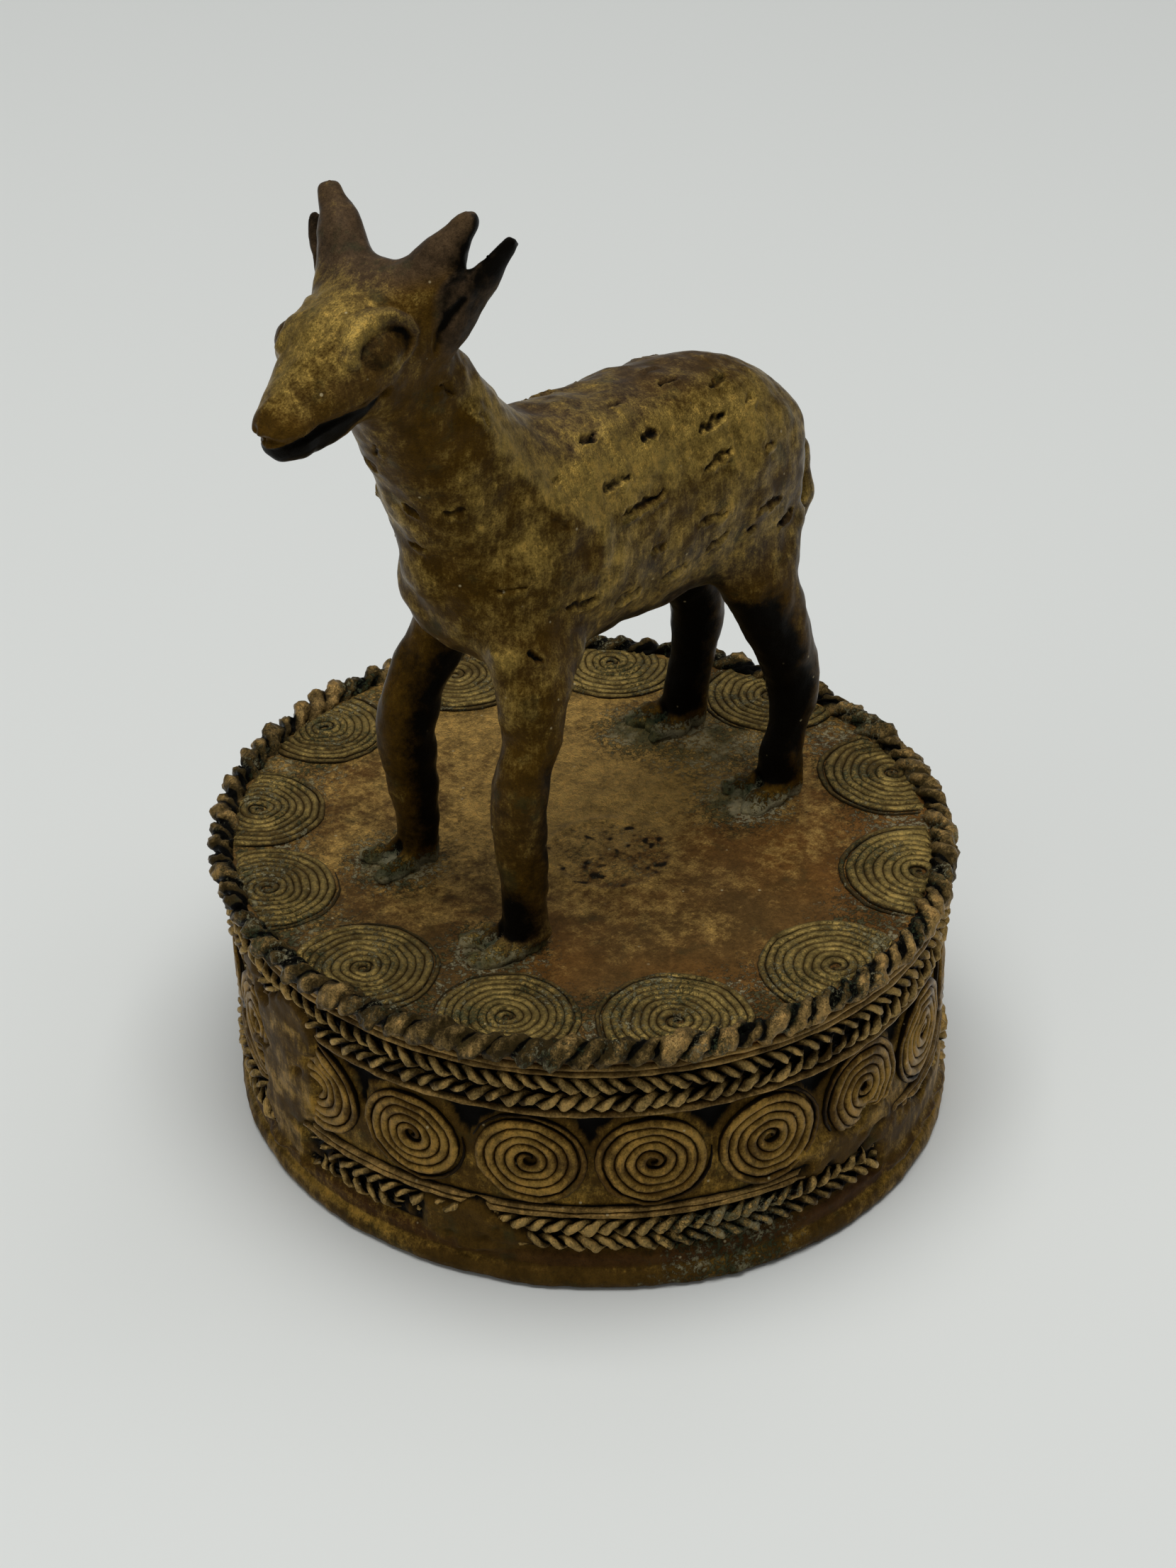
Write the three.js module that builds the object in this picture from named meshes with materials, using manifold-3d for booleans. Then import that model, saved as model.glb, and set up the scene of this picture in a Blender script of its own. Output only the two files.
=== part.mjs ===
// Lidded bronze box of the lost-wax kind. A round box is dressed with wound threads, braids and
// spiral coils of wax before it is cast, and an antelope stands on its lift-off lid as the handle.
// Millimetres, +Z up. The origin is the centre of the box's underside, and the antelope faces -X.
// Each wax element that the maker added is one mesh, and the lid's elements share one group.

import * as THREE from "three";
import { mergeVertices } from "three/addons/utils/BufferGeometryUtils.js";
import Module from "manifold-3d";

// Box: radii
const WALL_INNER_RADIUS = 39.5;
const WALL_THICKNESS = 1.5;
const FOOT_BAND_DEPTH = 1.15;
const FOOT_LIP = 0.4;

// Box: heights of the rows, from the underside up
const FLOOR_THICKNESS = 1.6;
const FOOT_BAND_HEIGHT = 3.6;
const THREAD_HEIGHT = 2.0;
const LOWER_WIRE_HEIGHT = 1.3;
const SIDE_COIL_DIAMETER = 12.3;
const UPPER_WIRE_HEIGHT = 1.0;
const RIM_HEIGHT = 1.5;
const ROW_GAP = 0.25;

// The wall leans a little: how far its rim stands from over the foot, along X and Y
const WALL_LEAN = [-1.0, 1.0];

// Box: how far the dress stands out from the wall
const SEAT_GAP = 0.25;
const THREAD_DEPTH = 1.5;
const WIRE_DEPTH = 1.1;
const THREAD_SHOULDER = 0.6;

// Side coils
const SIDE_COIL_COUNT = 19;
const SIDE_COIL_START = -126;
const SIDE_COIL_TURNS = 4;
const SIDE_COIL_STRETCH = 1.065;

// Spiral coils in general: the wound wax thread
const COIL_FILM = 0.35;
const COIL_RIDGE = 1.0;
const COIL_STEPS = 10;

// Lid
const LID_SHIFT = [-1.3, 1.3];
const LID_PLATE_THICKNESS = 1.8;
const ROPE_OVERHANG = 3;
const ROPE_DIAMETER = 3.6;
const ROPE_LOBES = 88;
const COLLAR_DEPTH = 5;
const COLLAR_THICKNESS = 1.4;
const COLLAR_CLEARANCE = 0.5;

// Lid coils, laid by hand at uneven angles and trimmed where the rope runs and a foot stands. Each
// has its bearing, the way of its centre in from the plate's edge, and its diameter.
const LID_COIL_TURNS = 5;
const LID_COIL_RIDGE = 0.8;
const LID_COILS = [
  [-148.5, 3.15, 16.4],
  [-120, 2.15, 17.8],
  [-88.5, 1.75, 17.9],
  [-56.5, 0.75, 18.8],
  [-26, 0.95, 17.8],
  [7, 1.75, 17.4],
  [39, 2.15, 17.2],
  [69.5, 2.15, 17.0],
  [100, 1.85, 15.8],
  [128.5, 1.75, 16.2],
  [154.2, 2.15, 16.4],
  [183, 3.55, 16.9],
];

// Antelope: where it stands on the lid, and its main measures
const ANIMAL_PLACE = [3.1, -0.7];
const PIECE_GAP = 0.3;
const FORELEG_SPACING = 21.0;
const HINDLEG_SPACING = 18.6;
const HEAD_PLACE = [-36.5, 0, 75.2];
const HEAD_YAW = 12;
const HEAD_ROLL = 6;
const HEAD_DROP = 7;
const TOE_SPREAD = 24;
const FOOT_HEIGHT = 1.9;

const ROUND_SEGMENTS = 48;
const BRONZE = 0x7a5f32;
const DARK_BRONZE = 0x4b3b24;
const RED_BRONZE = 0x6b4a2c;

const wasm = await Module();
wasm.setup();

const degrees = THREE.MathUtils.degToRad;

// Welds a geometry by position alone, so that it is one closed surface.
function weld(geometry) {
  const bare = new THREE.BufferGeometry();
  bare.setAttribute("position", geometry.getAttribute("position"));
  bare.setIndex(geometry.index);
  return mergeVertices(bare, 1e-4);
}

function toSolid(geometry) {
  const welded = weld(geometry);
  return new wasm.Manifold(
    new wasm.Mesh({
      numProp: 3,
      vertProperties: new Float32Array(welded.attributes.position.array),
      triVerts: new Uint32Array(welded.index.array),
    }),
  );
}

function toGeometry(solid) {
  const mesh = solid.getMesh();
  const geometry = new THREE.BufferGeometry();
  geometry.setAttribute("position", new THREE.BufferAttribute(mesh.vertProperties, 3));
  geometry.setIndex(new THREE.BufferAttribute(mesh.triVerts, 1));
  return geometry;
}

function addMesh(group, name, geometry, color) {
  const shaded = geometry.clone();
  shaded.computeVertexNormals();
  const material = new THREE.MeshStandardMaterial({ color, metalness: 0.85, roughness: 0.5 });
  const mesh = new THREE.Mesh(shaded, material);
  mesh.name = name;
  group.add(mesh);
  return mesh;
}

// A piece turned about Z from a list of [radius, height]. A disc's profile runs from the axis out
// and back to it, and a ring's profile closes on its own first point.
function turned(profile) {
  const isDisc = profile[0][0] === 0;
  const outline = isDisc ? profile : [...profile, profile[0]];
  const points = outline.map(([radius, height]) => new THREE.Vector2(radius, height));
  return weld(new THREE.LatheGeometry(points, ROUND_SEGMENTS).rotateX(Math.PI / 2));
}

// A surface swept through rings of points. The rings close on themselves when the sweep is a hoop,
// and otherwise the two ends are closed by a fan about their middle.
function skinRings(rings, hoop) {
  const sides = rings[0].length;
  const positions = rings.flat().flatMap((p) => [p.x, p.y, p.z]);
  const index = [];
  const last = hoop ? rings.length : rings.length - 1;
  for (let i = 0; i < last; i++) {
    const next = (i + 1) % rings.length;
    for (let j = 0; j < sides; j++) {
      const k = (j + 1) % sides;
      const a = i * sides + j;
      const b = i * sides + k;
      const c = next * sides + k;
      const d = next * sides + j;
      index.push(a, b, c, a, c, d);
    }
  }
  if (!hoop) {
    for (const [ring, flip] of [[0, true], [rings.length - 1, false]]) {
      const middle = new THREE.Vector3();
      rings[ring].forEach((p) => middle.add(p));
      middle.divideScalar(sides);
      const centre = positions.length / 3;
      positions.push(middle.x, middle.y, middle.z);
      for (let j = 0; j < sides; j++) {
        const a = ring * sides + j;
        const b = ring * sides + ((j + 1) % sides);
        index.push(...(flip ? [b, a, centre] : [a, b, centre]));
      }
    }
  }
  const geometry = new THREE.BufferGeometry();
  geometry.setAttribute("position", new THREE.Float32BufferAttribute(positions, 3));
  geometry.setIndex(index);
  return geometry;
}

// A spiral of wax thread pressed flat: one unbroken ridge that winds out from the centre. Each
// turn's outer valley is the next turn's inner one, and the last turn tapers into the round edge.
// Flat on z = 0, ridge towards +Z.
function spiralCoil(diameter, turns, ridge, steps) {
  const edge = diameter / 2;
  const pitch = edge / turns;
  const count = steps * turns - 1;
  const positions = [];
  const at = (radius, step, height) => {
    const angle = (2 * Math.PI * step) / steps;
    positions.push(radius * Math.cos(angle), radius * Math.sin(angle), height);
    return positions.length / 3 - 1;
  };
  const valleyRadius = (i) => Math.min((pitch * i) / steps, edge);
  const ridgeRadius = (i) => (valleyRadius(i) + valleyRadius(i + steps)) / 2;
  const valleys = [];
  const ridges = [];
  for (let i = 0; i <= count + steps; i++) {
    valleys.push(at(valleyRadius(i), i, COIL_FILM));
  }
  for (let i = 0; i <= count; i++) {
    const taper = Math.min(1, (valleyRadius(i + steps) - valleyRadius(i)) / pitch);
    ridges.push(at(ridgeRadius(i), i, COIL_FILM + (ridge - COIL_FILM) * taper));
  }
  const feet = [];
  for (let i = count; i <= count + steps; i++) {
    feet.push(at(valleyRadius(i), i, 0));
  }
  const underside = at(0, 0, 0);
  const index = [];
  for (let i = 0; i < count; i++) {
    const outer = i + steps;
    index.push(valleys[i], ridges[i], ridges[i + 1]);
    index.push(valleys[i], ridges[i + 1], valleys[i + 1]);
    index.push(ridges[i], valleys[outer], valleys[outer + 1]);
    index.push(ridges[i], valleys[outer + 1], ridges[i + 1]);
  }
  // the heart of the spiral, and the thread's two ends
  for (let i = 1; i < steps; i++) {
    index.push(valleys[0], valleys[i], valleys[i + 1]);
  }
  index.push(valleys[0], valleys[steps], ridges[0]);
  index.push(valleys[count], ridges[count], valleys[count + steps]);
  // the edge down to the flat underside
  const rim = feet.map((foot, i) => [foot, valleys[count + i]]);
  rim.forEach(([foot, top], i) => {
    const [nextFoot, nextTop] = rim[(i + 1) % rim.length];
    index.push(foot, nextFoot, nextTop, foot, nextTop, top);
    index.push(underside, nextFoot, foot);
  });
  const geometry = new THREE.BufferGeometry();
  geometry.setAttribute("position", new THREE.Float32BufferAttribute(positions, 3));
  geometry.setIndex(index);
  return geometry;
}

// Lays a flat piece on the wall: x runs round the wall, y runs up, z stands out from it.
function wrapOnWall(geometry, radius, angle, height) {
  const wrapped = geometry.clone();
  const place = wrapped.getAttribute("position");
  for (let i = 0; i < place.count; i++) {
    const out = radius + place.getZ(i);
    const turn = angle + place.getX(i) / radius;
    place.setXYZ(i, out * Math.cos(turn), out * Math.sin(turn), height + place.getY(i));
  }
  return wrapped;
}

// Heights of the rows. Each row stands on the one below with a small gap.
const wallOuter = WALL_INNER_RADIUS + WALL_THICKNESS;
const dressInner = wallOuter + SEAT_GAP;
const baseRadius = dressInner + FOOT_BAND_DEPTH;
const rows = {};
let level = FLOOR_THICKNESS;
for (const [row, height] of [
  ["footBand", FOOT_BAND_HEIGHT],
  ["lowerBraidLow", THREAD_HEIGHT],
  ["lowerBraidHigh", THREAD_HEIGHT],
  ["lowerWire", LOWER_WIRE_HEIGHT],
  ["coils", SIDE_COIL_DIAMETER],
  ["upperWire", UPPER_WIRE_HEIGHT],
  ["upperBraidLow", THREAD_HEIGHT],
  ["upperBraidHigh", THREAD_HEIGHT],
  ["rim", RIM_HEIGHT],
]) {
  rows[row] = { low: level, high: level + height, middle: level + height / 2 };
  level += height + ROW_GAP;
}
const boxHeight = rows.rim.high;

// A round wire or thread that hugs the wall: flat at its back, rounded in front.
function wallThread(row, depth) {
  const { low, high, middle } = rows[row];
  return turned([
    [dressInner, low],
    [dressInner + depth * THREAD_SHOULDER, low],
    [dressInner + depth, middle],
    [dressInner + depth * THREAD_SHOULDER, high],
    [dressInner, high],
  ]);
}

const bronzeBox = new THREE.Group();

// The box itself
addMesh(
  bronzeBox,
  "box_floor",
  turned([
    [0, 0],
    [baseRadius, 0],
    [baseRadius + FOOT_LIP, FLOOR_THICKNESS / 2],
    [baseRadius, FLOOR_THICKNESS],
    [0, FLOOR_THICKNESS],
  ]),
  DARK_BRONZE,
);
addMesh(
  bronzeBox,
  "box_wall",
  turned([
    [WALL_INNER_RADIUS, FLOOR_THICKNESS],
    [wallOuter, FLOOR_THICKNESS],
    [wallOuter, boxHeight],
    [WALL_INNER_RADIUS, boxHeight],
  ]),
  DARK_BRONZE,
);
addMesh(
  bronzeBox,
  "foot_band",
  turned([
    [dressInner, rows.footBand.low],
    [baseRadius, rows.footBand.low],
    [baseRadius - FOOT_LIP, rows.footBand.middle],
    [baseRadius - FOOT_LIP, rows.footBand.high],
    [dressInner, rows.footBand.high],
  ]),
  BRONZE,
);
addMesh(bronzeBox, "lower_braid_low_thread", wallThread("lowerBraidLow", THREAD_DEPTH), BRONZE);
addMesh(bronzeBox, "lower_braid_high_thread", wallThread("lowerBraidHigh", THREAD_DEPTH), BRONZE);
addMesh(bronzeBox, "lower_wire", wallThread("lowerWire", WIRE_DEPTH), BRONZE);
addMesh(bronzeBox, "upper_wire", wallThread("upperWire", WIRE_DEPTH), BRONZE);
addMesh(bronzeBox, "upper_braid_low_thread", wallThread("upperBraidLow", THREAD_DEPTH), BRONZE);
addMesh(bronzeBox, "upper_braid_high_thread", wallThread("upperBraidHigh", THREAD_DEPTH), BRONZE);
addMesh(
  bronzeBox,
  "rim_wires",
  turned([
    [dressInner, rows.rim.low],
    [dressInner + WIRE_DEPTH, (rows.rim.low + rows.rim.middle) / 2],
    [dressInner + WIRE_DEPTH * THREAD_SHOULDER, rows.rim.middle],
    [dressInner + WIRE_DEPTH, (rows.rim.middle + rows.rim.high) / 2],
    [dressInner, rows.rim.high],
  ]),
  BRONZE,
);
for (let i = 0; i < SIDE_COIL_COUNT; i++) {
  const angle = degrees(SIDE_COIL_START + (360 * i) / SIDE_COIL_COUNT);
  const flat = spiralCoil(SIDE_COIL_DIAMETER, SIDE_COIL_TURNS, COIL_RIDGE, COIL_STEPS);
  flat.scale(SIDE_COIL_STRETCH, 1, 1);
  const number = String(i + 1).padStart(2, "0");
  addMesh(
    bronzeBox,
    `side_coil_${number}`,
    wrapOnWall(flat, dressInner, angle, rows.coils.middle),
    BRONZE,
  );
}

// Everything on the box leans with the wall. The underside stays flat on the bench.
const lean = new THREE.Matrix4().makeShear(
  0,
  0,
  0,
  0,
  WALL_LEAN[0] / boxHeight,
  WALL_LEAN[1] / boxHeight,
);
for (const piece of bronzeBox.children) {
  piece.geometry.applyMatrix4(lean);
  piece.geometry.computeVertexNormals();
}

// The lid rests on the rim, a little off centre as its loose collar lets it.
const lid = new THREE.Group();
lid.position.set(LID_SHIFT[0], LID_SHIFT[1], boxHeight + SEAT_GAP);
bronzeBox.add(lid);

const ropeOuterRadius = wallOuter + ROPE_OVERHANG;
const ropeRingRadius = ropeOuterRadius - ROPE_DIAMETER / 2;
const plateRadius = ropeOuterRadius - ROPE_DIAMETER - SEAT_GAP;
const lidShift = Math.hypot(...LID_SHIFT);
const collarOuter = WALL_INNER_RADIUS - lidShift - COLLAR_CLEARANCE;

addMesh(
  lid,
  "lid_plate",
  turned([
    [0, 0],
    [plateRadius, 0],
    [plateRadius, LID_PLATE_THICKNESS],
    [0, LID_PLATE_THICKNESS],
  ]),
  RED_BRONZE,
);
addMesh(
  lid,
  "lid_collar",
  turned([
    [collarOuter - COLLAR_THICKNESS, -COLLAR_DEPTH],
    [collarOuter, -COLLAR_DEPTH],
    [collarOuter, 0],
    [collarOuter - COLLAR_THICKNESS, 0],
  ]),
  DARK_BRONZE,
);

// The rope round the lid: two wax threads twisted together, one lobe for each half twist.
function twistedRope() {
  const half = ROPE_DIAMETER / 2;
  const section = [
    [half * 0.9, -half * 0.42],
    [-half * 0.9, -half * 0.42],
    [-half * 0.9, half * 0.42],
    [half * 0.9, half * 0.42],
  ];
  const ringsPerLobe = 3;
  const ringCount = ROPE_LOBES * ringsPerLobe;
  const rings = [];
  for (let i = 0; i < ringCount; i++) {
    const around = (2 * Math.PI * i) / ringCount;
    const twist = (Math.PI * i) / ringsPerLobe;
    rings.push(
      section.map(([u, v]) => {
        const out = u * Math.cos(twist) - v * Math.sin(twist);
        const up = u * Math.sin(twist) + v * Math.cos(twist);
        const radius = ropeRingRadius + out;
        return new THREE.Vector3(
          radius * Math.cos(around),
          radius * Math.sin(around),
          ROPE_DIAMETER / 2 + up,
        );
      }),
    );
  }
  return skinRings(rings, true);
}
addMesh(lid, "lid_rope", twistedRope(), BRONZE);

// The antelope. Its frame starts between its feet on the lid plate's top.
const antelope = new THREE.Group();
antelope.position.set(ANIMAL_PLACE[0], ANIMAL_PLACE[1], LID_PLATE_THICKNESS);
lid.add(antelope);

// A rounded body drawn through oval stations. Each station is its centre [x, y, z] with its half
// width across the animal and its half depth. A wider copy of a piece cuts its neighbours.
function rounded(stations, across, sides, grow = 0) {
  const centres = stations.map(([x, y, z]) => new THREE.Vector3(x, y, z));
  const rings = stations.map(([, , , halfWidth, halfDepth], i) => {
    const before = centres[Math.max(i - 1, 0)];
    const after = centres[Math.min(i + 1, centres.length - 1)];
    const along = after.clone().sub(before).normalize();
    const side = across.clone().addScaledVector(along, -across.dot(along)).normalize();
    const depth = along.clone().cross(side);
    const centre = centres[i].clone();
    if (i === 0) centre.addScaledVector(along, -grow);
    if (i === centres.length - 1) centre.addScaledVector(along, grow);
    return Array.from({ length: sides }, (_, j) => {
      const angle = (2 * Math.PI * j) / sides;
      return centre
        .clone()
        .addScaledVector(side, (halfWidth + grow) * Math.cos(angle))
        .addScaledVector(depth, (halfDepth + grow) * Math.sin(angle));
    });
  });
  return toSolid(skinRings(rings, false));
}

const ACROSS = new THREE.Vector3(0, 1, 0);

const TORSO = [
  [-28.6, 0, 47, 3.6, 4.6],
  [-26.8, 0, 47, 7.2, 9.2],
  [-22, 0, 46.2, 10.0, 12.6],
  [-15, 0, 44.8, 10.6, 13.8],
  [-5, 0, 44.1, 10.2, 14.0],
  [4, 0, 43.9, 10.0, 13.6],
  [11, 0, 43.4, 10.2, 13.2],
  [17, 0, 42.0, 10.0, 12.5],
  [21.5, 0, 40.0, 8.6, 11.0],
  [24.8, 0, 38.4, 5.6, 7.8],
  [26.2, 0, 38.0, 2.6, 3.8],
];
const NECK = [
  [-17.5, 0, 47, 8.8, 10.8],
  [-22, 0, 53.5, 8.4, 9.4],
  [-26.2, 0, 60, 7.4, 7.9],
  [-30, 0, 66, 6.5, 6.8],
  [-33, 0, 71.5, 6.0, 6.2],
];

// The head's stations run from its back to the muzzle along its own level axis.
const HEAD = [
  [8.2, 0, 0.2, 3.4, 3.4],
  [6.2, 0, 0.1, 5.8, 5.8],
  [1.5, 0, 0, 6.9, 6.5],
  [-3.5, 0, -0.6, 6.5, 6.0],
  [-8.5, 0, -1.6, 5.0, 4.9],
  [-12.4, 0, -2.3, 3.9, 4.0],
  [-15.0, 0, -2.7, 3.5, 3.4],
  [-16.4, 0, -2.9, 2.4, 2.3],
];
const HORN_LEFT = [
  [2.6, -2.8, 2.2, 4.0, 4.0],
  [4.4, -4.3, 4.4, 3.3, 3.3],
  [6.2, -5.8, 6.8, 2.4, 2.4],
  [8.8, -8.2, 9.3, 1.6, 1.6],
  [9.6, -9.0, 10.3, 0.8, 0.8],
];
const EAR_LEFT = [
  [4.8, -4.6, -2.6, 1.4, 2.0],
  [6.8, -7.0, -0.4, 1.2, 3.2],
  [9.0, -9.2, 3.0, 1.0, 3.0],
  [11.2, -11.4, 6.6, 0.5, 0.8],
];
const EYE_LEFT = [
  [-3.0, -4.6, 1.4, 2.6, 1.8],
  [-3.2, -6.8, 1.7, 2.2, 1.4],
  [-3.3, -7.5, 1.8, 1.2, 0.8],
];

const headTurn = new THREE.Matrix4()
  .makeTranslation(...HEAD_PLACE)
  .multiply(new THREE.Matrix4().makeRotationZ(degrees(HEAD_YAW)))
  .multiply(new THREE.Matrix4().makeRotationY(degrees(-HEAD_DROP)))
  .multiply(new THREE.Matrix4().makeRotationX(degrees(-HEAD_ROLL)));

function onHead(stations, mirror) {
  return stations.map(([x, y, z, ...halves]) => {
    const place = new THREE.Vector3(x, mirror ? -y : y, z).applyMatrix4(headTurn);
    return [place.x, place.y, place.z, ...halves];
  });
}
const headAcross = ACROSS.clone().transformDirection(headTurn);
const headAlong = new THREE.Vector3(1, 0, 0).transformDirection(headTurn);

// A leg's stations give the way inward from its own line, half the spacing out, in place of y.
const FRONT_LEFT_LEG = [
  [-20.3, 2, 36, 3.6, 7.6],
  [-21.8, 0.8, 31, 3.4, 4.8],
  [-22.6, 0.4, 26.5, 3.1, 3.3],
  [-24.6, 0.1, 22, 3.1, 3.5],
  [-25.0, 0, 18, 2.9, 3.1],
  [-24.4, 0, 12, 2.7, 2.8],
  [-24.0, 0, 5, 2.4, 2.5],
  [-24.0, 0, 1.2, 2.5, 2.7],
];
const FRONT_RIGHT_LEG = [
  [-15.5, 2, 36, 3.6, 6.0],
  [-17.0, 0.6, 30, 3.3, 4.0],
  [-19.4, 0, 25, 3.1, 3.3],
  [-21.4, -0.2, 20, 3.1, 3.5],
  [-21.6, -0.2, 16, 3.0, 3.2],
  [-20.8, 0, 10, 2.8, 2.9],
  [-20.4, 0, 4, 2.4, 2.5],
  [-20.4, 0, 1.2, 2.5, 2.7],
];
const HIND_LEFT_LEG = [
  [16.0, 2, 35, 3.8, 8.2],
  [17.2, 1.2, 28, 3.8, 5.4],
  [19.4, 0.6, 22, 3.3, 4.2],
  [21.4, 0.2, 16.5, 3.0, 3.4],
  [21.6, 0, 12, 2.8, 2.9],
  [20.6, 0, 7, 2.5, 2.6],
  [20.0, 0, 1.2, 2.5, 2.6],
];
const HIND_RIGHT_LEG = [
  [18.5, 2, 35, 3.8, 8.0],
  [20.6, 1.2, 28, 3.8, 5.4],
  [23.0, 0.4, 22, 3.3, 4.2],
  [25.0, 0, 15.5, 2.9, 3.2],
  [24.6, 0, 10, 2.7, 2.8],
  [23.6, 0, 5, 2.4, 2.5],
  [23.2, 0, 1.2, 2.5, 2.6],
];
const TAIL = [
  [24.0, 0, 47.5, 1.4, 1.4],
  [28.0, 0, 44.6, 1.9, 1.6],
  [31.0, 0, 39.0, 2.3, 1.7],
  [31.8, 0, 32.0, 2.1, 1.5],
  [31.6, 0, 27.8, 1.1, 0.9],
];

// A splayed cloven foot: two toes that open forward from the heel, flat underneath. A toe's
// stations are the way along it, its half width and its half height.
const TOE = [
  [-1.6, 1.5, 1.0],
  [0.5, 2.1, 1.7],
  [4.3, 1.7, 1.1],
  [7.2, 0.7, 0.4],
];
const footLayer = toSolid(
  new THREE.BoxGeometry(ropeOuterRadius * 2, ropeOuterRadius * 2, FOOT_HEIGHT).translate(
    0,
    0,
    FOOT_HEIGHT / 2,
  ),
);
function clovenFoot(x, y, heading, grow = 0) {
  const toes = [-TOE_SPREAD, TOE_SPREAD].map((spread) => {
    const turn = degrees(heading + spread);
    const across = new THREE.Vector3(-Math.sin(turn), Math.cos(turn), 0);
    const stations = TOE.map(([along, halfWidth, halfHeight]) => [
      x + along * Math.cos(turn),
      y + along * Math.sin(turn),
      halfHeight * 0.6,
      halfWidth,
      halfHeight,
    ]);
    return rounded(stations, across, 8, grow);
  });
  return toes[0].add(toes[1]).intersect(footLayer);
}

const torsoCut = rounded(TORSO, ACROSS, 16, PIECE_GAP);
const neckCut = rounded(NECK, ACROSS, 14, PIECE_GAP);
const headCut = rounded(onHead(HEAD, false), headAcross, 14, PIECE_GAP);

function addSolid(name, solid) {
  addMesh(antelope, name, toGeometry(solid), RED_BRONZE);
}

const torso = rounded(TORSO, ACROSS, 16);
const neck = rounded(NECK, ACROSS, 14).subtract(torsoCut);
const head = rounded(onHead(HEAD, false), headAcross, 14).subtract(neckCut);
addSolid("torso", torso);
addSolid("neck", neck);
addSolid("head", head);
for (const [side, mirror] of [["left", false], ["right", true]]) {
  const horn = onHead(HORN_LEFT, mirror);
  const hornCut = rounded(horn, headAcross, 8, PIECE_GAP);
  addSolid(`${side}_horn`, rounded(horn, headAcross, 8).subtract(headCut));
  const earBody = rounded(onHead(EAR_LEFT, mirror), headAcross, 8);
  addSolid(`${side}_ear`, earBody.subtract(headCut).subtract(neckCut).subtract(hornCut));
  addSolid(`${side}_eye`, rounded(onHead(EYE_LEFT, mirror), headAlong, 8).subtract(headCut));
}

// Each leg: its stations, the pair's spacing, its side of the animal, and where its foot points
const legCuts = [];
for (const [name, stations, spacing, side, heading] of [
  ["front_left_leg", FRONT_LEFT_LEG, FORELEG_SPACING, -1, 152],
  ["front_right_leg", FRONT_RIGHT_LEG, FORELEG_SPACING, 1, 165],
  ["hind_left_leg", HIND_LEFT_LEG, HINDLEG_SPACING, -1, 163],
  ["hind_right_leg", HIND_RIGHT_LEG, HINDLEG_SPACING, 1, 165],
]) {
  const placed = stations.map(([x, inward, ...rest]) => [x, side * (spacing / 2 - inward), ...rest]);
  const ankle = placed.at(-1);
  const leg = rounded(placed, ACROSS, 8).subtract(torsoCut);
  addSolid(name, leg.add(clovenFoot(ankle[0], ankle[1], heading)));
  legCuts.push(rounded(placed, ACROSS, 8, PIECE_GAP));
  legCuts.push(clovenFoot(ankle[0], ankle[1], heading, PIECE_GAP));
}
addSolid("tail", rounded(TAIL, ACROSS, 7).subtract(torsoCut));

// The coils on the lid. Whatever of one would lie under the rope or a foot was cut away in the wax.
const trimDisc = turned([
  [0, 0],
  [plateRadius - SEAT_GAP, 0],
  [plateRadius - SEAT_GAP, ROPE_DIAMETER],
  [0, ROPE_DIAMETER],
]);
const toAnimal = new THREE.Vector3(ANIMAL_PLACE[0], ANIMAL_PLACE[1], 0).negate();
const coilRoom = legCuts.reduce(
  (room, cut) => room.subtract(cut),
  toSolid(trimDisc.translate(...toAnimal)),
);
LID_COILS.forEach(([bearing, inset, diameter], i) => {
  const flat = spiralCoil(diameter, LID_COIL_TURNS, LID_COIL_RIDGE, COIL_STEPS + 2);
  flat.translate(plateRadius - inset, 0, 0);
  flat.rotateZ(degrees(bearing));
  flat.translate(...toAnimal);
  const trimmed = toGeometry(toSolid(flat).intersect(coilRoom));
  trimmed.translate(...antelope.position);
  addMesh(lid, `lid_coil_${String(i + 1).padStart(2, "0")}`, trimmed, BRONZE);
});

export default bronzeBox;
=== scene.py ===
# %% [markdown]
# # A cast bronze box with an antelope on its lid
#
# The real object was built up in wax and cast by the lost-wax way. The maker rolled thin wax
# threads, wound them into flat coils, twisted them into cords, laid them round a plain wax box,
# and set a modelled antelope on the lid. Two castings came out of it: the box and the lid.
#
# The frame holds the measured solids and the joint that lets the lid lift off. This lesson keeps
# that frame and dresses it, in the maker's own order: roll a rod, lay it, and let it age.

import math
from contextlib import contextmanager

import bpy
import numpy as np
from mathutils import Matrix, Vector, noise


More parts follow.
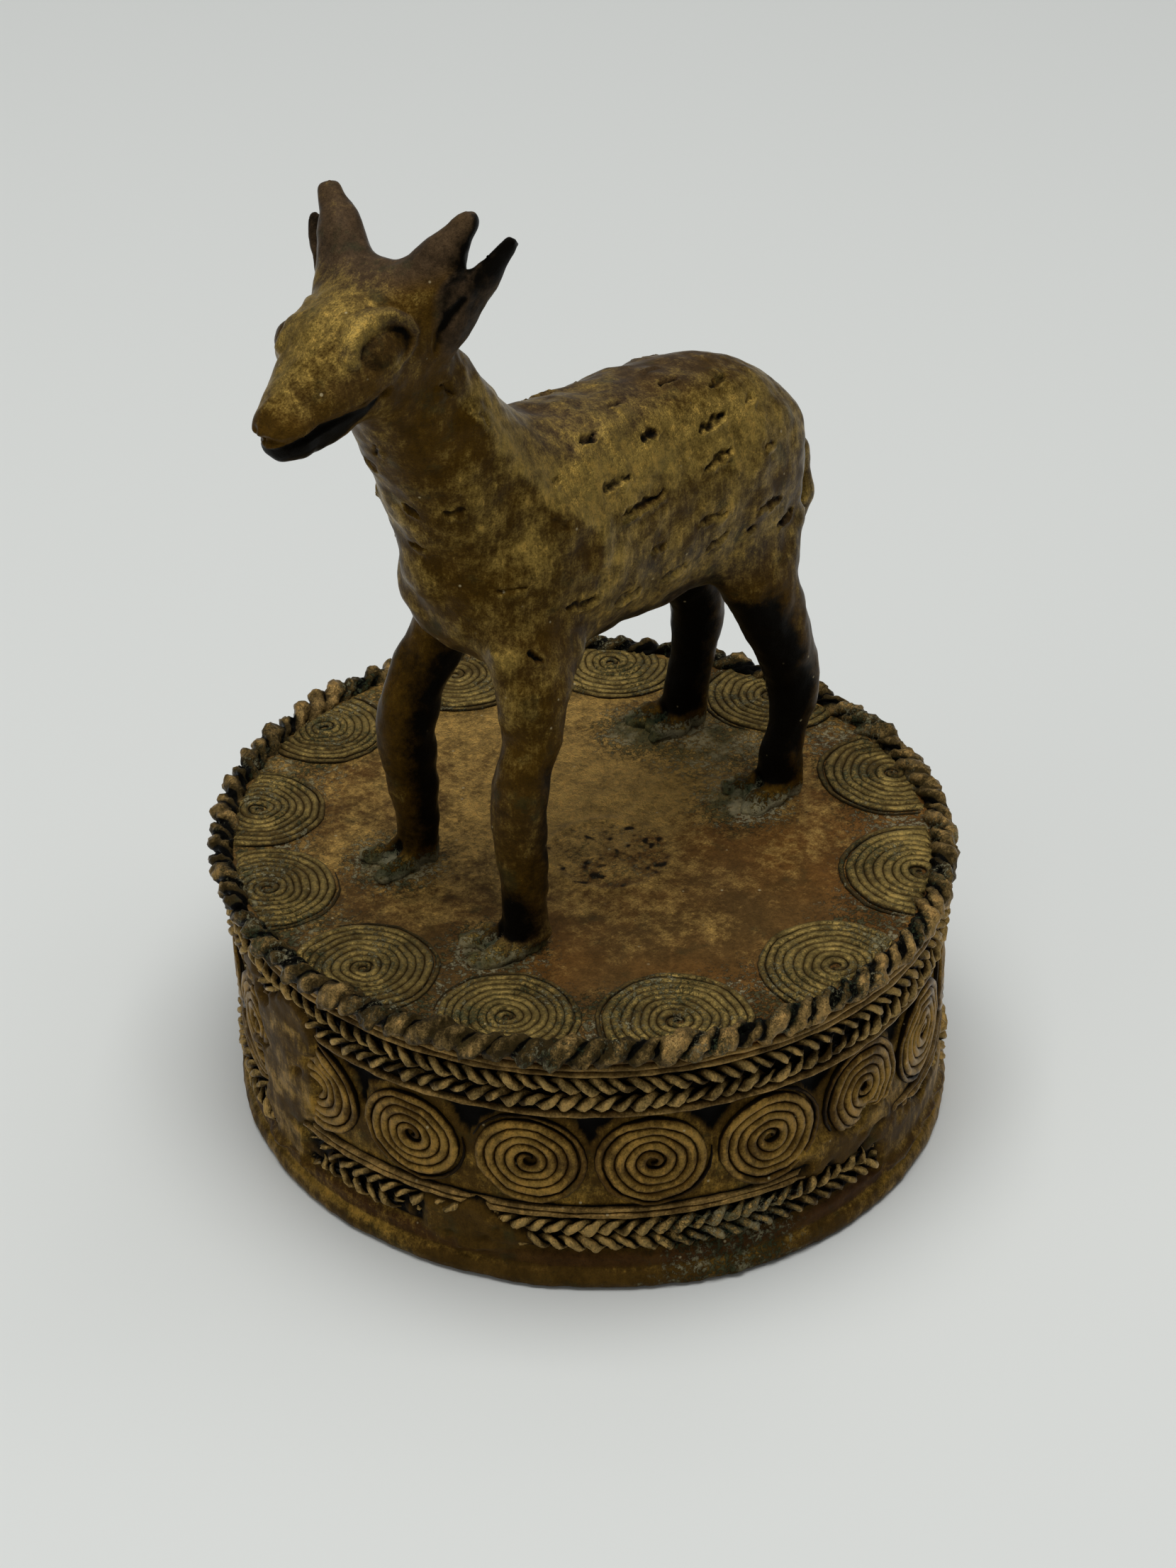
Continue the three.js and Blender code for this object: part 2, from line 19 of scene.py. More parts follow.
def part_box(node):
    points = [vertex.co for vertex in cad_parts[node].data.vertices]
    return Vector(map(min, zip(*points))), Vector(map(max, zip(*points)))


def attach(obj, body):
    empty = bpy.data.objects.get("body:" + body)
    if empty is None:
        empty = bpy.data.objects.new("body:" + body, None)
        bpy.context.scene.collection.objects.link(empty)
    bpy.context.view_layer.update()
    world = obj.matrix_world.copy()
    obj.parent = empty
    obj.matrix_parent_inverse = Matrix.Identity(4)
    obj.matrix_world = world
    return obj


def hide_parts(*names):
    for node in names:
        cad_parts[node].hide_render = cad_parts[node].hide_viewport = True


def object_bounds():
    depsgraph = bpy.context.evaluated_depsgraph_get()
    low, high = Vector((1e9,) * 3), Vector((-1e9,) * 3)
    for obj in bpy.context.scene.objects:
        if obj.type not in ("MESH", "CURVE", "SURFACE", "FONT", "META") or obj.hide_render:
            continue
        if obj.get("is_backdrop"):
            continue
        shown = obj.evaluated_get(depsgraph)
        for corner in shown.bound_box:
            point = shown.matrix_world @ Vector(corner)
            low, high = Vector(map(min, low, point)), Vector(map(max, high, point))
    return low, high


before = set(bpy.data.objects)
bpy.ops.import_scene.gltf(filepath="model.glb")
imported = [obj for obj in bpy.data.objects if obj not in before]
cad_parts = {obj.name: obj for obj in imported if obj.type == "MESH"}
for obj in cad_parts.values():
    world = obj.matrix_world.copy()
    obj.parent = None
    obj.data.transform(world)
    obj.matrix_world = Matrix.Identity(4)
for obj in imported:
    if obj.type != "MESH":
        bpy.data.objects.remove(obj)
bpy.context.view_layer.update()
MM = 0.001

# %% [markdown]
# ## The camera
#
# The photograph was taken from above and from the antelope's left front. Its place was worked out
# from the round outlines of the foot and the rope, so the lens is set as a long one, and the
# camera's three axes are written down instead of being aimed at a target by eye.

# %% Camera
bpy.ops.object.camera_add(location=(-0.2447, -0.2331, 0.2627))
camera = bpy.context.object
camera.name = "camera"
right = Vector((0.69983, -0.71414, 0.01524))
up = Vector((0.38411, 0.39417, 0.83490))
turn = Matrix((right, up, right.cross(up))).transposed().to_4x4()
camera.matrix_world = Matrix.Translation(camera.location) @ turn
camera.data.sensor_fit = "AUTO"
camera.data.sensor_width = 36
camera.data.lens = 4920 / 2212 * 36
camera.data.clip_start = 0.01
camera.data.clip_end = 20
bpy.context.scene.camera = camera
print("lens", round(camera.data.lens, 1), "mm")

# %% [markdown]
# ## Small helpers
#
# Edit operators act on everything that is selected, so each step first leaves a single object
# selected. The finished shape of a thread is easier to see as a straight rod that is then laid
# somewhere: round a ring, in a spiral, or along the spine of a leg. One helper rolls the rod, and
# one lays it by telling every point where to go.


# %% Select one piece, work on its mesh, apply what was added
def only(obj):
    bpy.ops.object.select_all(action="DESELECT")
    obj.select_set(True)
    bpy.context.view_layer.objects.active = obj


@contextmanager
def edit_mode(obj):
    """Inside a with, operators work on the whole of this one mesh."""
    only(obj)
    bpy.ops.object.mode_set(mode="EDIT")
    bpy.ops.mesh.select_all(action="SELECT")
    yield
    bpy.ops.object.mode_set(mode="OBJECT")


def apply_modifiers(obj):
    only(obj)
    for modifier in list(obj.modifiers):
        bpy.ops.object.modifier_apply(modifier=modifier.name)


def close_seams(obj, reach=1e-7):
    with edit_mode(obj):
        bpy.ops.mesh.remove_doubles(threshold=reach)
        bpy.ops.mesh.normals_make_consistent(inside=False)


def joined(*pieces):
    only(pieces[0])
    for piece in pieces:
        piece.select_set(True)
    bpy.ops.object.join()
    return bpy.context.object


def rows_of(items, name, width=3, kind=float):
    """Reads one property of all the points or edges of a mesh."""
    numbers = np.empty(len(items) * width, dtype=kind)
    items.foreach_get(name, numbers)
    return numbers.reshape(-1, width)


def points_of(obj):
    return rows_of(obj.data.vertices, "co")


def normals_of(obj):
    return rows_of(obj.data.vertices, "normal")


def set_points(obj, points):
    obj.data.vertices.foreach_set("co", np.ascontiguousarray(points).ravel())
    obj.data.update()


def mark(obj, **masks):
    """Keeps numbers for each point of the mesh, which a material can read by their names."""
    for name, values in masks.items():
        found = obj.data.attributes.get(name)
        attribute = found or obj.data.attributes.new(name, "FLOAT", "POINT")
        attribute.data.foreach_set("value", np.clip(values, 0, 1).astype(np.float32))


# %% Roll a rod along Z, and lay it
def roll_rod(name, sides, steps, length, radius=(1, 1), offset=0, turns=0, start=0):
    """A thread of wax from Z = start to start + length. With an offset it winds about Z."""
    bpy.ops.object.select_all(action="DESELECT")
    bpy.ops.mesh.primitive_circle_add(vertices=sides, radius=1)
    rod = bpy.context.object
    rod.name = name
    with edit_mode(rod):
        bpy.ops.transform.resize(value=(*radius, 1))
        bpy.ops.transform.translate(value=(offset, 0, start))
    screw = rod.modifiers.new("roll", "SCREW")
    screw.axis = "Z"
    screw.angle = 2 * math.pi * turns
    screw.screw_offset = length
    screw.steps = screw.render_steps = steps
    apply_modifiers(rod)
    return rod


def lay(rod, place):
    """Sends each point x, y, z of a straight rod to its place, in millimetres."""
    set_points(rod, np.stack(place(*points_of(rod).T), axis=1) * MM)


def round_the_wall(radius, height):
    """For a thread laid round the box: x stands out, y is up, and z runs once round, 0 to 1."""

    def place(x, y, z):
        turn = 2 * math.pi * z
        out = radius + x
        return out * np.cos(turn), out * np.sin(turn), height + y

    return place


# %% [markdown]
# ## Unevenness made by hand
#
# Nothing on such a casting is quite true. Noise moves the surface a few hundredths of a
# millimetre in and out, with a size that suits fingers and files. The same idea gives each piece
# its worn crowns and dark hollows: a copy of the mesh is smoothed, and where the true surface
# stands above the smooth one it is a crown that hands have rubbed, and below it is a hollow.


# %% Soft noise along the normals
def unevenness(points, size, seed=0):
    shift = Vector((seed, seed * 1.7, -seed))
    return np.array([noise.noise(Vector(p) / (size * MM) + shift) for p in points])


def patchy(points, value, *layers):
    """A value made uneven. Each layer of noise has its amount, size in mm and seed."""
    for amount, size, seed in layers:
        value = value + amount * unevenness(points, size, seed)
    return value


def age(obj, *layers):
    """Makes a surface uneven along its normals, one layer of noise after the other."""
    for layer in layers:
        points, normals = points_of(obj), normals_of(obj)
        set_points(obj, points + normals * patchy(points, 0, layer)[:, None] * MM)


def waver(obj, *layers):
    """Shifts points along X, Y or Z (0, 1 or 2) by layers of noise, one after the other."""
    points = points_of(obj)
    for axis, *layer in layers:
        points[:, axis] += patchy(points, 0, layer) * MM
    set_points(obj, points)


def neighbour_mean(obj):
    """Gives the function that finds the middle of each point's neighbours."""
    edges = rows_of(obj.data.edges, "vertices", 2, np.int32)
    count = len(obj.data.vertices)
    first = np.concatenate([edges[:, 0], edges[:, 1]])
    second = np.concatenate([edges[:, 1], edges[:, 0]])
    degree = np.bincount(first, minlength=count)[:, None]

    def mean(points):
        total = [np.bincount(first, points[second, k], minlength=count) for k in range(3)]
        return np.stack(total, axis=1) / degree

    return mean


def smoothed(obj, rounds, weight=1):
    """Each round moves every point half way to the middle of its neighbours."""
    points, mean = points_of(obj), neighbour_mean(obj)
    weight = np.broadcast_to(np.asarray(weight, float), (len(points),))[:, None]
    for _ in range(rounds):
        points = points + (mean(points) - points) * weight * 0.5
    return points


def mark_crowns(obj, depth, rounds):
    """Marks hollows 0, flat ground 0.5 and crowns 1. depth is what counts as full, in mm."""
    height = ((points_of(obj) - smoothed(obj, rounds)) * normals_of(obj)).sum(axis=1)
    mark(obj, crown=0.5 + 0.5 * height / (depth * MM))


def finish_piece(obj, body, nodes, finish):
    """The piece rides on its body, stands for its solids, and takes its finish."""
    only(obj)
    bpy.ops.object.transform_apply(location=True, rotation=True, scale=True)
    bpy.ops.object.shade_smooth()
    obj.data.materials.clear()
    obj.data.materials.append(finishes[finish])
    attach(obj, body)
    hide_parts(*nodes)
    print(obj.name, len(obj.data.polygons), "faces")


# %% [markdown]
# ## Aged bronze
#
# Old bronze is a metal under a thin brown skin. Where hands rub it, the skin goes and warm yellow
# metal shows. In the hollows the skin stays thick, nearly black, with a breath of green, and dust
# settles in places that no finger reaches. The same marks also carry painted light: places made
# lighter where light falls on them, and painted shade that turns dark like a hollow. All pieces
# share these parts, so they are one node group, and each material gives it its own colours and
# amounts. The group puts out colour, roughness, metal and height, and the shader itself stays in
# each material.


# %% A small helper for node trees
def colour(r, g, b):
    """A colour as a colour picker shows it, 0 to 255, turned to the light it stands for."""
    linear = [((v / 255 + 0.055) / 1.055) ** 2.4 if v > 10 else v / 255 / 12.92 for v in (r, g, b)]
    return (*linear, 1)


class Wire:
    """A value in a node tree. Sums and products of wires become math nodes."""

    def __init__(self, bench, socket):
        self.bench = bench
        self.socket = socket

    def __add__(self, other):
        return self.bench.math("ADD", self, other)

    def __sub__(self, other):
        return self.bench.math("SUBTRACT", self, other)

    def __rsub__(self, other):
        return self.bench.math("SUBTRACT", other, self)

    def __mul__(self, other):
        return self.bench.math("MULTIPLY", self, other)


class Bench:
    """Lays out a node tree from left to right. Inputs are given by name or number."""

    def __init__(self, tree):
        self.tree = tree
        self.column = 0
        tree.nodes.clear()

    def node(self, kind, inputs=None, **settings):
        made = self.tree.nodes.new(kind)
        made.location = (self.column * 180 - 1600, -(self.column % 5) * 160)
        self.column += 1
        for name, value in settings.items():
            setattr(made, name, value)
        for key, value in (inputs or {}).items():
            value = getattr(value, "socket", value)
            if isinstance(value, bpy.types.NodeSocket):
                self.tree.links.new(value, made.inputs[key])
            else:
                made.inputs[key].default_value = value
        return made

    def wire(self, kind, output=0, inputs=None, **settings):
        return Wire(self, self.node(kind, inputs, **settings).outputs[output])

    def math(self, operation, a, b, clamp=False):
        return self.wire("ShaderNodeMath", 0, {0: a, 1: b}, operation=operation, use_clamp=clamp)

    def grade(self, value, low, high, to_low=0, to_high=1):
        """Softly maps low..high to to_low..to_high."""
        inputs = dict(enumerate((value, low, high, to_low, to_high)))
        return self.wire("ShaderNodeMapRange", 0, inputs, interpolation_type="SMOOTHSTEP")

    def mix(self, share, a, b, blend="MIX"):
        inputs = {"Factor": share, 6: a, 7: b}
        return self.wire("ShaderNodeMix", 2, inputs, data_type="RGBA", blend_type=blend)

    def cloud(self, where, scale, detail=4, rough=0.55):
        inputs = {"Vector": where, "Scale": scale, "Detail": detail, "Roughness": rough}
        return self.wire("ShaderNodeTexNoise", "Fac", inputs)


# %% The node group of aged bronze
COLOURS = ("Metal", "Skin", "Plum", "Deep", "Bloom")
NUMBERS = ("Crown", "Rub And Painted Light", "Plum Share", "Crust", "Cloud Scale", "Streaks")
GROUP_SOCKETS = [
    ("INPUT", "Color", COLOURS),
    ("INPUT", "Float", NUMBERS),
    ("OUTPUT", "Color", ("Color",)),
    ("OUTPUT", "Float", ("Roughness", "Metallic", "Height")),
]
aged_bronze = bpy.data.node_groups.new("aged_bronze", "ShaderNodeTree")
for way, kind, names in GROUP_SOCKETS:
    for name in names:
        aged_bronze.interface.new_socket(name=name, in_out=way, socket_type="NodeSocket" + kind)
w = Bench(aged_bronze)
given = {socket.name: Wire(w, socket) for socket in w.node("NodeGroupInput").outputs}
crown, metal, deep_skin, crust = (given[name] for name in ("Crown", "Metal", "Deep", "Crust"))
where = w.wire("ShaderNodeTexCoord", "Object")
broad = w.cloud(where, given["Cloud Scale"], 5, 0.62)
middle = w.cloud(where, 380, 5, 0.65)
fine = w.cloud(where, 1400, 5, 0.68)
grain = w.cloud(where, 4600, 3, 0.6)
upright = w.wire("ShaderNodeMapping", 0, {"Vector": where, "Scale": (1, 1, 0.24)})
streaks = w.cloud(upright, 1500, 4, 0.7)
# two skins: olive brown and plum brown
plum = w.grade(w.cloud(where, 75, 3) + given["Plum Share"], 0.5, 1.1)
skin = w.mix(plum, given["Skin"], given["Plum"])
# where the skin has gone, and where the rub mark paints light and shade: noise of many sizes, each
# about 0.5 in the middle
lift_and_painted_light = given["Rub And Painted Light"] + (crown - 0.5)
spread = (streaks - 0.5) * given["Streaks"]
for cloud, share in ((broad, 1), (middle, 1), (fine, 0.4), (grain, 0.45)):
    spread = spread + (cloud - 0.5) * share
wear_and_painted_light = w.grade(lift_and_painted_light + spread * 1.25, 0.12, 1.02)
tone = w.mix(wear_and_painted_light, skin, metal)
# bright flecks, and a tone that wanders
bright = w.mix(1, metal, colour(206, 196, 186), "MULTIPLY")
bright = w.mix(1, bright, bright, "ADD")
fleck = streaks + (wear_and_painted_light - 0.5) * 0.3 + (grain - 0.5) * 0.3
tone = w.mix(w.grade(fleck, 0.58, 0.80, 0, 0.55), tone, bright)
blend = middle * 0.5 + fine * 0.3 + streaks * 0.2
tone = w.mix(1, tone, w.grade(blend, 0.38, 0.62, 0.70, 1.28), "MULTIPLY")
tone = w.mix(w.grade(grain, 0.52, 0.36, 0, 0.5), tone, w.mix(0.5, tone, deep_skin))
# hollows keep their dark skin, and painted shade that comes in with the crown mark turns dark the
# same way
hollow = w.grade(crown + fine * 0.24, 0.52, 0.24)
tone = w.mix(hollow, tone, deep_skin)
# a green bloom in patches
green = w.cloud(where, 230, 4, 0.62)
patches = w.grade(green, 0.56, 0.7) * (w.grade(crown, 0.85, 0.35) * (1 - hollow))
tone = w.mix(patches * 0.35, tone, given["Bloom"])
# pale crust, broken into grains
crusty = w.grade(w.cloud(where, 1700, 4, 0.78) + crust * 0.30, 0.60, 0.70)
crusty = crusty * w.grade(crust, 0.02, 0.35)
dust = w.mix(w.grade(green, 0.40, 0.58), colour(132, 126, 98), colour(52, 60, 42))
tone = w.mix(crusty * 0.75, tone, dust)
# single pale grains
cells = w.node("ShaderNodeTexVoronoi", {"Vector": where, "Scale": 620}).outputs
chance = w.wire("ShaderNodeSeparateColor", 0, {0: cells["Color"]})
single = w.grade(cells["Distance"], 0.14, 0.06) * w.grade(chance, 0.86, 0.9)
rough = w.grade(wear_and_painted_light, 0, 1, 0.60, 0.46) + grain * 0.12
bare = w.grade(wear_and_painted_light, 0, 1, 0.40, 0.85) * (1 - crusty)
relief = fine * 0.6 + grain * 0.3 + streaks * 0.3 + middle * 0.6
results = {
    "Color": w.mix(single * 0.75, tone, colour(176, 160, 122)),
    "Roughness": w.math("ADD", rough, crusty * 0.35, clamp=True),
    "Metallic": bare * w.grade(hollow, 0, 1, 1, 0.3),
    "Height": relief + crusty * 0.9,
}
w.node("NodeGroupOutput", results)
print("nodes in the group:", len(aged_bronze.nodes))


# %% One material for each finish
def bronze(name, colours, rub=0.5, clouds=120, bump=0.12, streaks=0.3, sheen=0.6):
    """The colours are metal, skin, plum skin and deep skin. bump is in mm."""
    material = bpy.data.materials.new(name)
    material.use_nodes = True
    w = Bench(material.node_tree)
    masks = [
        w.wire("ShaderNodeAttribute", "Fac", attribute_name=mask)
        for mask in ("crown", "rub", "plum", "crust")
    ]
    masks[1] = masks[1] + (rub - 0.5)
    inputs = dict(zip(NUMBERS, (*masks, clouds, streaks)))
    for key, value in zip(COLOURS, (*colours, (40, 54, 34))):
        inputs[key] = colour(*value)
    patina = w.node("ShaderNodeGroup", inputs, node_tree=aged_bronze).outputs
    relief = {"Strength": 1, "Distance": bump * MM, "Height": patina["Height"]}
    grazing = w.wire("ShaderNodeLayerWeight", "Facing")
    surface = {
        "Base Color": patina["Color"],
        "Roughness": patina["Roughness"],
        "Metallic": patina["Metallic"],
        "Normal": w.wire("ShaderNodeBump", "Normal", relief),
        "Specular IOR Level": 0.04,
        "Coat Weight": w.math("POWER", grazing, 2.5) * sheen,
        "Coat Roughness": 0.3,
    }
    shader = w.wire("ShaderNodeBsdfPrincipled", 0, surface)
    w.node("ShaderNodeOutputMaterial", {"Surface": shader})
    return material


PLUM = (78, 61, 42)
FINISHES = {
    "antelope": [(150, 125, 62), (76, 53, 10), PLUM, (8, 5, 1)],
    "lid": [(166, 134, 72), (94, 70, 36), (106, 72, 32), (26, 18, 6)],
    "box": [(138, 108, 46), (76, 55, 19), (66, 42, 18), (7, 5, 2)],
    "side_coil": [(142, 112, 54), (84, 60, 22), (80, 54, 26), (20, 12, 3)],
    "braid": [(168, 140, 84), (72, 54, 25), (74, 52, 32), (4, 3, 1)],
    "wire": [(144, 116, 66), (84, 62, 30), PLUM, (12, 9, 4)],
    "rope": [(154, 126, 76), (60, 48, 24), (66, 48, 28), (5, 4, 2)],
    "lid_coil": [(138, 118, 66), (84, 67, 34), (80, 59, 36), (48, 38, 20)],
}
AMOUNTS = {
    "antelope": {"clouds": 75, "bump": 0.3, "streaks": 0.6},
    "lid": {"rub": 0.49, "bump": 0.25, "streaks": 0.8},
    "box": {"rub": 0.40, "streaks": 0.8, "sheen": 0.2},
    "side_coil": {"rub": 0.40, "bump": 0.18},
    "braid": {"rub": 0.42, "bump": 0.35, "streaks": 0.6},
    "wire": {"rub": 0.46},
    "rope": {"rub": 0.33, "bump": 0.4, "streaks": 0.8},
    "lid_coil": {"rub": 0.42, "bump": 0.25, "streaks": 0.7},
}
finishes = {
    name: bronze(name + "_bronze", colours, **AMOUNTS[name]) for name, colours in FINISHES.items()
}
print("finishes:", ", ".join(finishes))

# %% [markdown]
# ## The box and its foot
#
# The wall is a plain sheet of wax bent round a floor, with a smooth band at the foot. One outline
# turned round the axis gives all three. The outline is a circle primitive whose points are set to
# the corners, and Spin carries it once round. Long straight runs of the outline are divided, so
# that the hand-made unevenness has points to move. The real wall leans a little to one side, so
# everything on it goes through one small helper that leans it.


# %% Turn an outline round the axis
def divide(outline, longest, shown, hidden=2.5):
    """Adds points so that no run is longer than this, in mm. Unshown runs stay coarse."""
    points = []
    for (r0, h0), (r1, h1) in zip(outline, outline[1:] + outline[:1]):
        step = longest if shown((r0 + r1) / 2, (h0 + h1) / 2) else hidden
        parts = max(1, math.ceil(math.hypot(r1 - r0, h1 - h0) / step))
        points += [(r0 + (r1 - r0) * k / parts, h0 + (h1 - h0) * k / parts) for k in range(parts)]
    return points


def turn_outline(name, outline, steps):
    bpy.ops.object.select_all(action="DESELECT")
    bpy.ops.mesh.primitive_circle_add(vertices=len(outline), radius=1)
    obj = bpy.context.object
    obj.name = name
    set_points(obj, np.array([(r * MM, 0, h * MM) for r, h in outline]))
    with edit_mode(obj):
        bpy.ops.mesh.spin(steps=steps, angle=2 * math.pi, center=(0, 0, 0), axis=(0, 0, 1))
    close_seams(obj)
    return obj


# %% Sizes of the box, as the frame has them
def rise_of(node):
    """The lowest and the highest place of a node of the frame, in mm."""
    return [corner.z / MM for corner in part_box(node)]


wall_in = 39.5
wall_out = 41
floor_top = rise_of("box_floor")[1]
foot_high = rise_of("foot_band")[1]
floor_low, floor_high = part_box("box_floor")
foot_radius = (floor_high.y - floor_low.y) / 2 / MM - 0.4
coil_low, coil_high = rise_of("side_coil_01")
coil_middle = (coil_low + coil_high) / 2
rim_top = rise_of("box_wall")[1]
WALL_LEAN = (-0.031, 0.032)
print("coils stand at", round(coil_middle, 2), "mm; the rim is at", round(rim_top, 2), "mm")


def lean(obj):
    points = points_of(obj)
    points[:, :2] += points[:, 2:] * WALL_LEAN
    set_points(obj, points)


def bearing(points):
    return np.degrees(np.arctan2(points[:, 1], points[:, 0]))


def apart(angle, middle, turn=360):
    return np.abs((angle - middle + turn / 2) % turn - turn / 2)


def near(angle, middle, half):
    """1 at a bearing, falling to 0 half a width away on either side."""
    return np.clip(1 - (apart(angle, middle) / half) ** 2, 0, 1) ** 2


def ramp(values, start, run):
    """0 at the start, 1 after the run. A negative run rises towards smaller values."""
    return np.clip((values - start) / run, 0, 1)


def between(values, low, high, soft):
    """1 between two values, with soft ends."""
    return ramp(values, low - soft / 2, soft) * ramp(values, high + soft / 2, -soft)


def press_out(obj, points, amount):
    """Moves a piece's points out by so many mm, away from the axis as seen from points."""
    away = points * (1, 1, 0)
    away /= np.maximum(np.linalg.norm(away, axis=1), 1e-9)[:, None]
    set_points(obj, points_of(obj) + away * amount[:, None] * MM)


# %% Where metal flooded the wall, as bearing, half width, lowest and highest, and how proud
FLOODS = [
    (167.5, 8, 4, 27, 1), (-155.5, 6.5, 4.6, 9.6, 1), (-70, 15, 4, 9.8, 0.9),
    (-93, 9, 10, 14, 0.75), (60, 10, 4, 9.5, 0.9),
]


def flooded(points):
    """How proud the flood stands here, in mm. Points are in metres."""
    angle, height = bearing(points), points[:, 2] / MM
    ragged = patchy(points, 0, (9, 4, 21), (3, 1.5, 27))
    proud = np.zeros(len(points))
    for middle, half, low, high, depth in FLOODS:
        share = ramp(apart(angle, middle) + ragged, half + 1.5, -3)
        proud = np.maximum(proud, depth * share * between(height + ragged * 0.25, low, high, 1))
    return proud


# %% The cast box: wall, floor and foot
coil_count = sum(node.startswith("side_coil_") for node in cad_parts)
FIRST_COIL = -126


def beside_the_coils(points):
    """How far a place on the wall is from the edge of the nearest coil, in mm."""
    across = np.radians(apart(bearing(points), FIRST_COIL, 360 / coil_count)) * wall_out
    return np.hypot(across, points[:, 2] / MM - coil_middle) - 6.3


outline = [
    (0, 0),
    (foot_radius - 0.4, 0),
    (foot_radius + 0.2, 0.5),
    (foot_radius + 0.3, 1.3),
    (foot_radius + 0.05, 2.3),
    (foot_radius - 0.45, 2.7),
    (foot_radius - 0.4, 4.4),
    (foot_radius - 0.7, foot_high - 0.3),
    (wall_out + 0.35, foot_high + 0.2),
    (wall_out + 0.35, rim_top - 0.2),
    (wall_out, rim_top),
    (wall_in + 0.3, rim_top),
    (wall_in, rim_top - 0.4),
    (wall_in, floor_top),
    (0, floor_top),
]
outline = divide(outline, 0.5, lambda r, h: r > wall_out - 0.1)
box = turn_outline("box_casting", outline, 560)
points = points_of(box)
angle, height = bearing(points), points[:, 2] / MM
outer = (np.hypot(points[:, 0], points[:, 1]) / MM > wall_out - 0.2) & (height > 0.3)
flood = flooded(points) * outer * (height > 2.6)
press_out(box, points, flood)
age(box, (0.20, 8, 3), (0.12, 1.5, 8))
crusty = near(angle, -114, 20) * between(height, 0.4, 6, 1.2) * outer
press_out(box, points, np.abs(unevenness(points, 1.1, 33)) * 0.9 * crusty)
upper = height > coil_middle
band = outer & (height > coil_low - 0.4) & (height < coil_high + 0.4)
recess = outer & (height > foot_high + 0.2) & (height < rim_top - 0.6)
flood = np.clip(flood, 0, 1)
beside = patchy(points, beside_the_coils(points), (0.8, 1.5, 41))
corner = ramp(beside, 0.4, 0.7) * band * upper * np.clip(1 - 2 * flood, 0, 1)
press_out(box, points, -0.7 * corner)
standing = points_of(box)
standing[:, 2] = np.maximum(standing[:, 2], 0)
set_points(box, standing)
# the pressed-in corners above the coils turn dark, deep skin in the recess with painted shade, and
# below the coils' middle the ground is a little lighter than above it, painted light on the part
# that faces up
deep = np.where(band, np.where(upper, 0.46, 0.52), 0.12) - 0.5 * corner
step = between(height, 2.3, 3, 0.3) * outer
stripe = between(height, 1.8, 2.9, 0.5) * near(angle, 180, 16) * outer
sunken = between(height, 3, 5, 0.4) * outer
# the sunken band above the foot's step takes a plum tint and is made darker, the darkening painted
# shade in the recess
rubbed = 0.35 * stripe + 0.25 * step - 0.16 * sunken
rubbed += flood * patchy(points, -0.30, (0.6, 1.6, 17))
# painted light: the right side of the wall is made lighter, the left side lighter low down, and the
# front darker low down; the front-left is also darker
rubbed += 0.60 * near(angle, -54, 36) + 0.16 * near(angle, 172, 30) * (height < 14)
rubbed -= 0.36 * near(angle, -125, 45) * (height < 7) + 0.20 * near(angle, -150, 28)
rubbed += 0.14 * unevenness(points, 3, 8) * outer
mark(
    box,
    crown=np.where(recess, deep + 0.42 * flood, 0.5),
    rub=patchy(points, 0.42 + rubbed, (0.26, 9, 2)),
    plum=0.45 * sunken - 0.2 * flood,
    crust=0.5 * crusty + 0.15 * outer * (height < 1.2),
)
lean(box)
finish_piece(box, "box", ["box_wall", "box_floor", "foot_band"], "box")

# %% [markdown]
# ## Twisted cords
#
# A braid here is two cords side by side, each of two threads twisted together, one cord twisted to
# the left and the other to the right, so their slants meet in a row of arrows. A Screw modifier
# winds a circle about the axis, which makes one twisted thread, and the second starts half a turn
# on. The cord is then laid round the wall. Where metal flooded the braid it sinks into the wall.


# %% Make a cord of two threads and close it into a ring
def twisted_cord(name, diameter, turns, way, radius, height, thread, sides=10, steps=14, dark=1.1):
    """thread is the thread's radius. Each half turn swells in front into a lobe like a grain."""
    half = diameter / 2
    cord = joined(
        *(
            roll_rod(name, sides, steps * turns, 1, (thread, thread), arm, way * turns)
            for arm in (half - thread, thread - half)
        )
    )
    x, y, z = points_of(cord).T
    turn = 2 * math.pi * z * turns * way
    start = np.where(np.arange(len(x)) < len(x) // 2, 1, -1)
    arm = start * (half - thread)
    across, up = x - arm * np.cos(turn), y - arm * np.sin(turn)
    in_front = start * np.cos(turn + 0.5 * way)
    lobe = np.floor(z * turns + np.where(start > 0, 0.25, 0.75)) + 1000 * start
    swell = 0.84 + 0.20 * in_front + 0.18 * np.sin(lobe * 12.9898) + 0.12 * np.sin(lobe * 78.233)
    shift = 0.16 * thread * np.sin(lobe * 37.719) * np.clip(in_front, 0, 1)
    x, y = arm * np.cos(turn) + across * swell, arm * np.sin(turn) + up * swell + shift
    valley = math.sqrt(max(thread**2 - (half - thread) ** 2, 0)) / half
    mark(cord, crown=0.95 * ramp(np.hypot(x, y) / half, valley, 0.92 - valley) ** dark)
    flat = diameter * 0.46
    x = np.where(x > flat, flat + (x - flat) * 0.35, x)
    set_points(cord, np.stack([x, y, z], axis=1))
    lay(cord, round_the_wall(radius, height))
    close_seams(cord)
    points = points_of(cord)
    lumps = [(0.14, 9, diameter), (0.34, 1.6, diameter * 3 + height)]
    press_out(cord, points, patchy(points, 0, *lumps, (0.24, 0.7, diameter * 7 + height)))
    waver(cord, (2, 0.22, 6, diameter * 5), (2, 0.24, 1.2, diameter * 9 + height))
    return cord


def sink(obj, depth):
    """Presses a thread into the flooded places of the wall."""
    points = points_of(obj)
    press_out(obj, points, -depth * ramp(flooded(points), 0, 0.8))


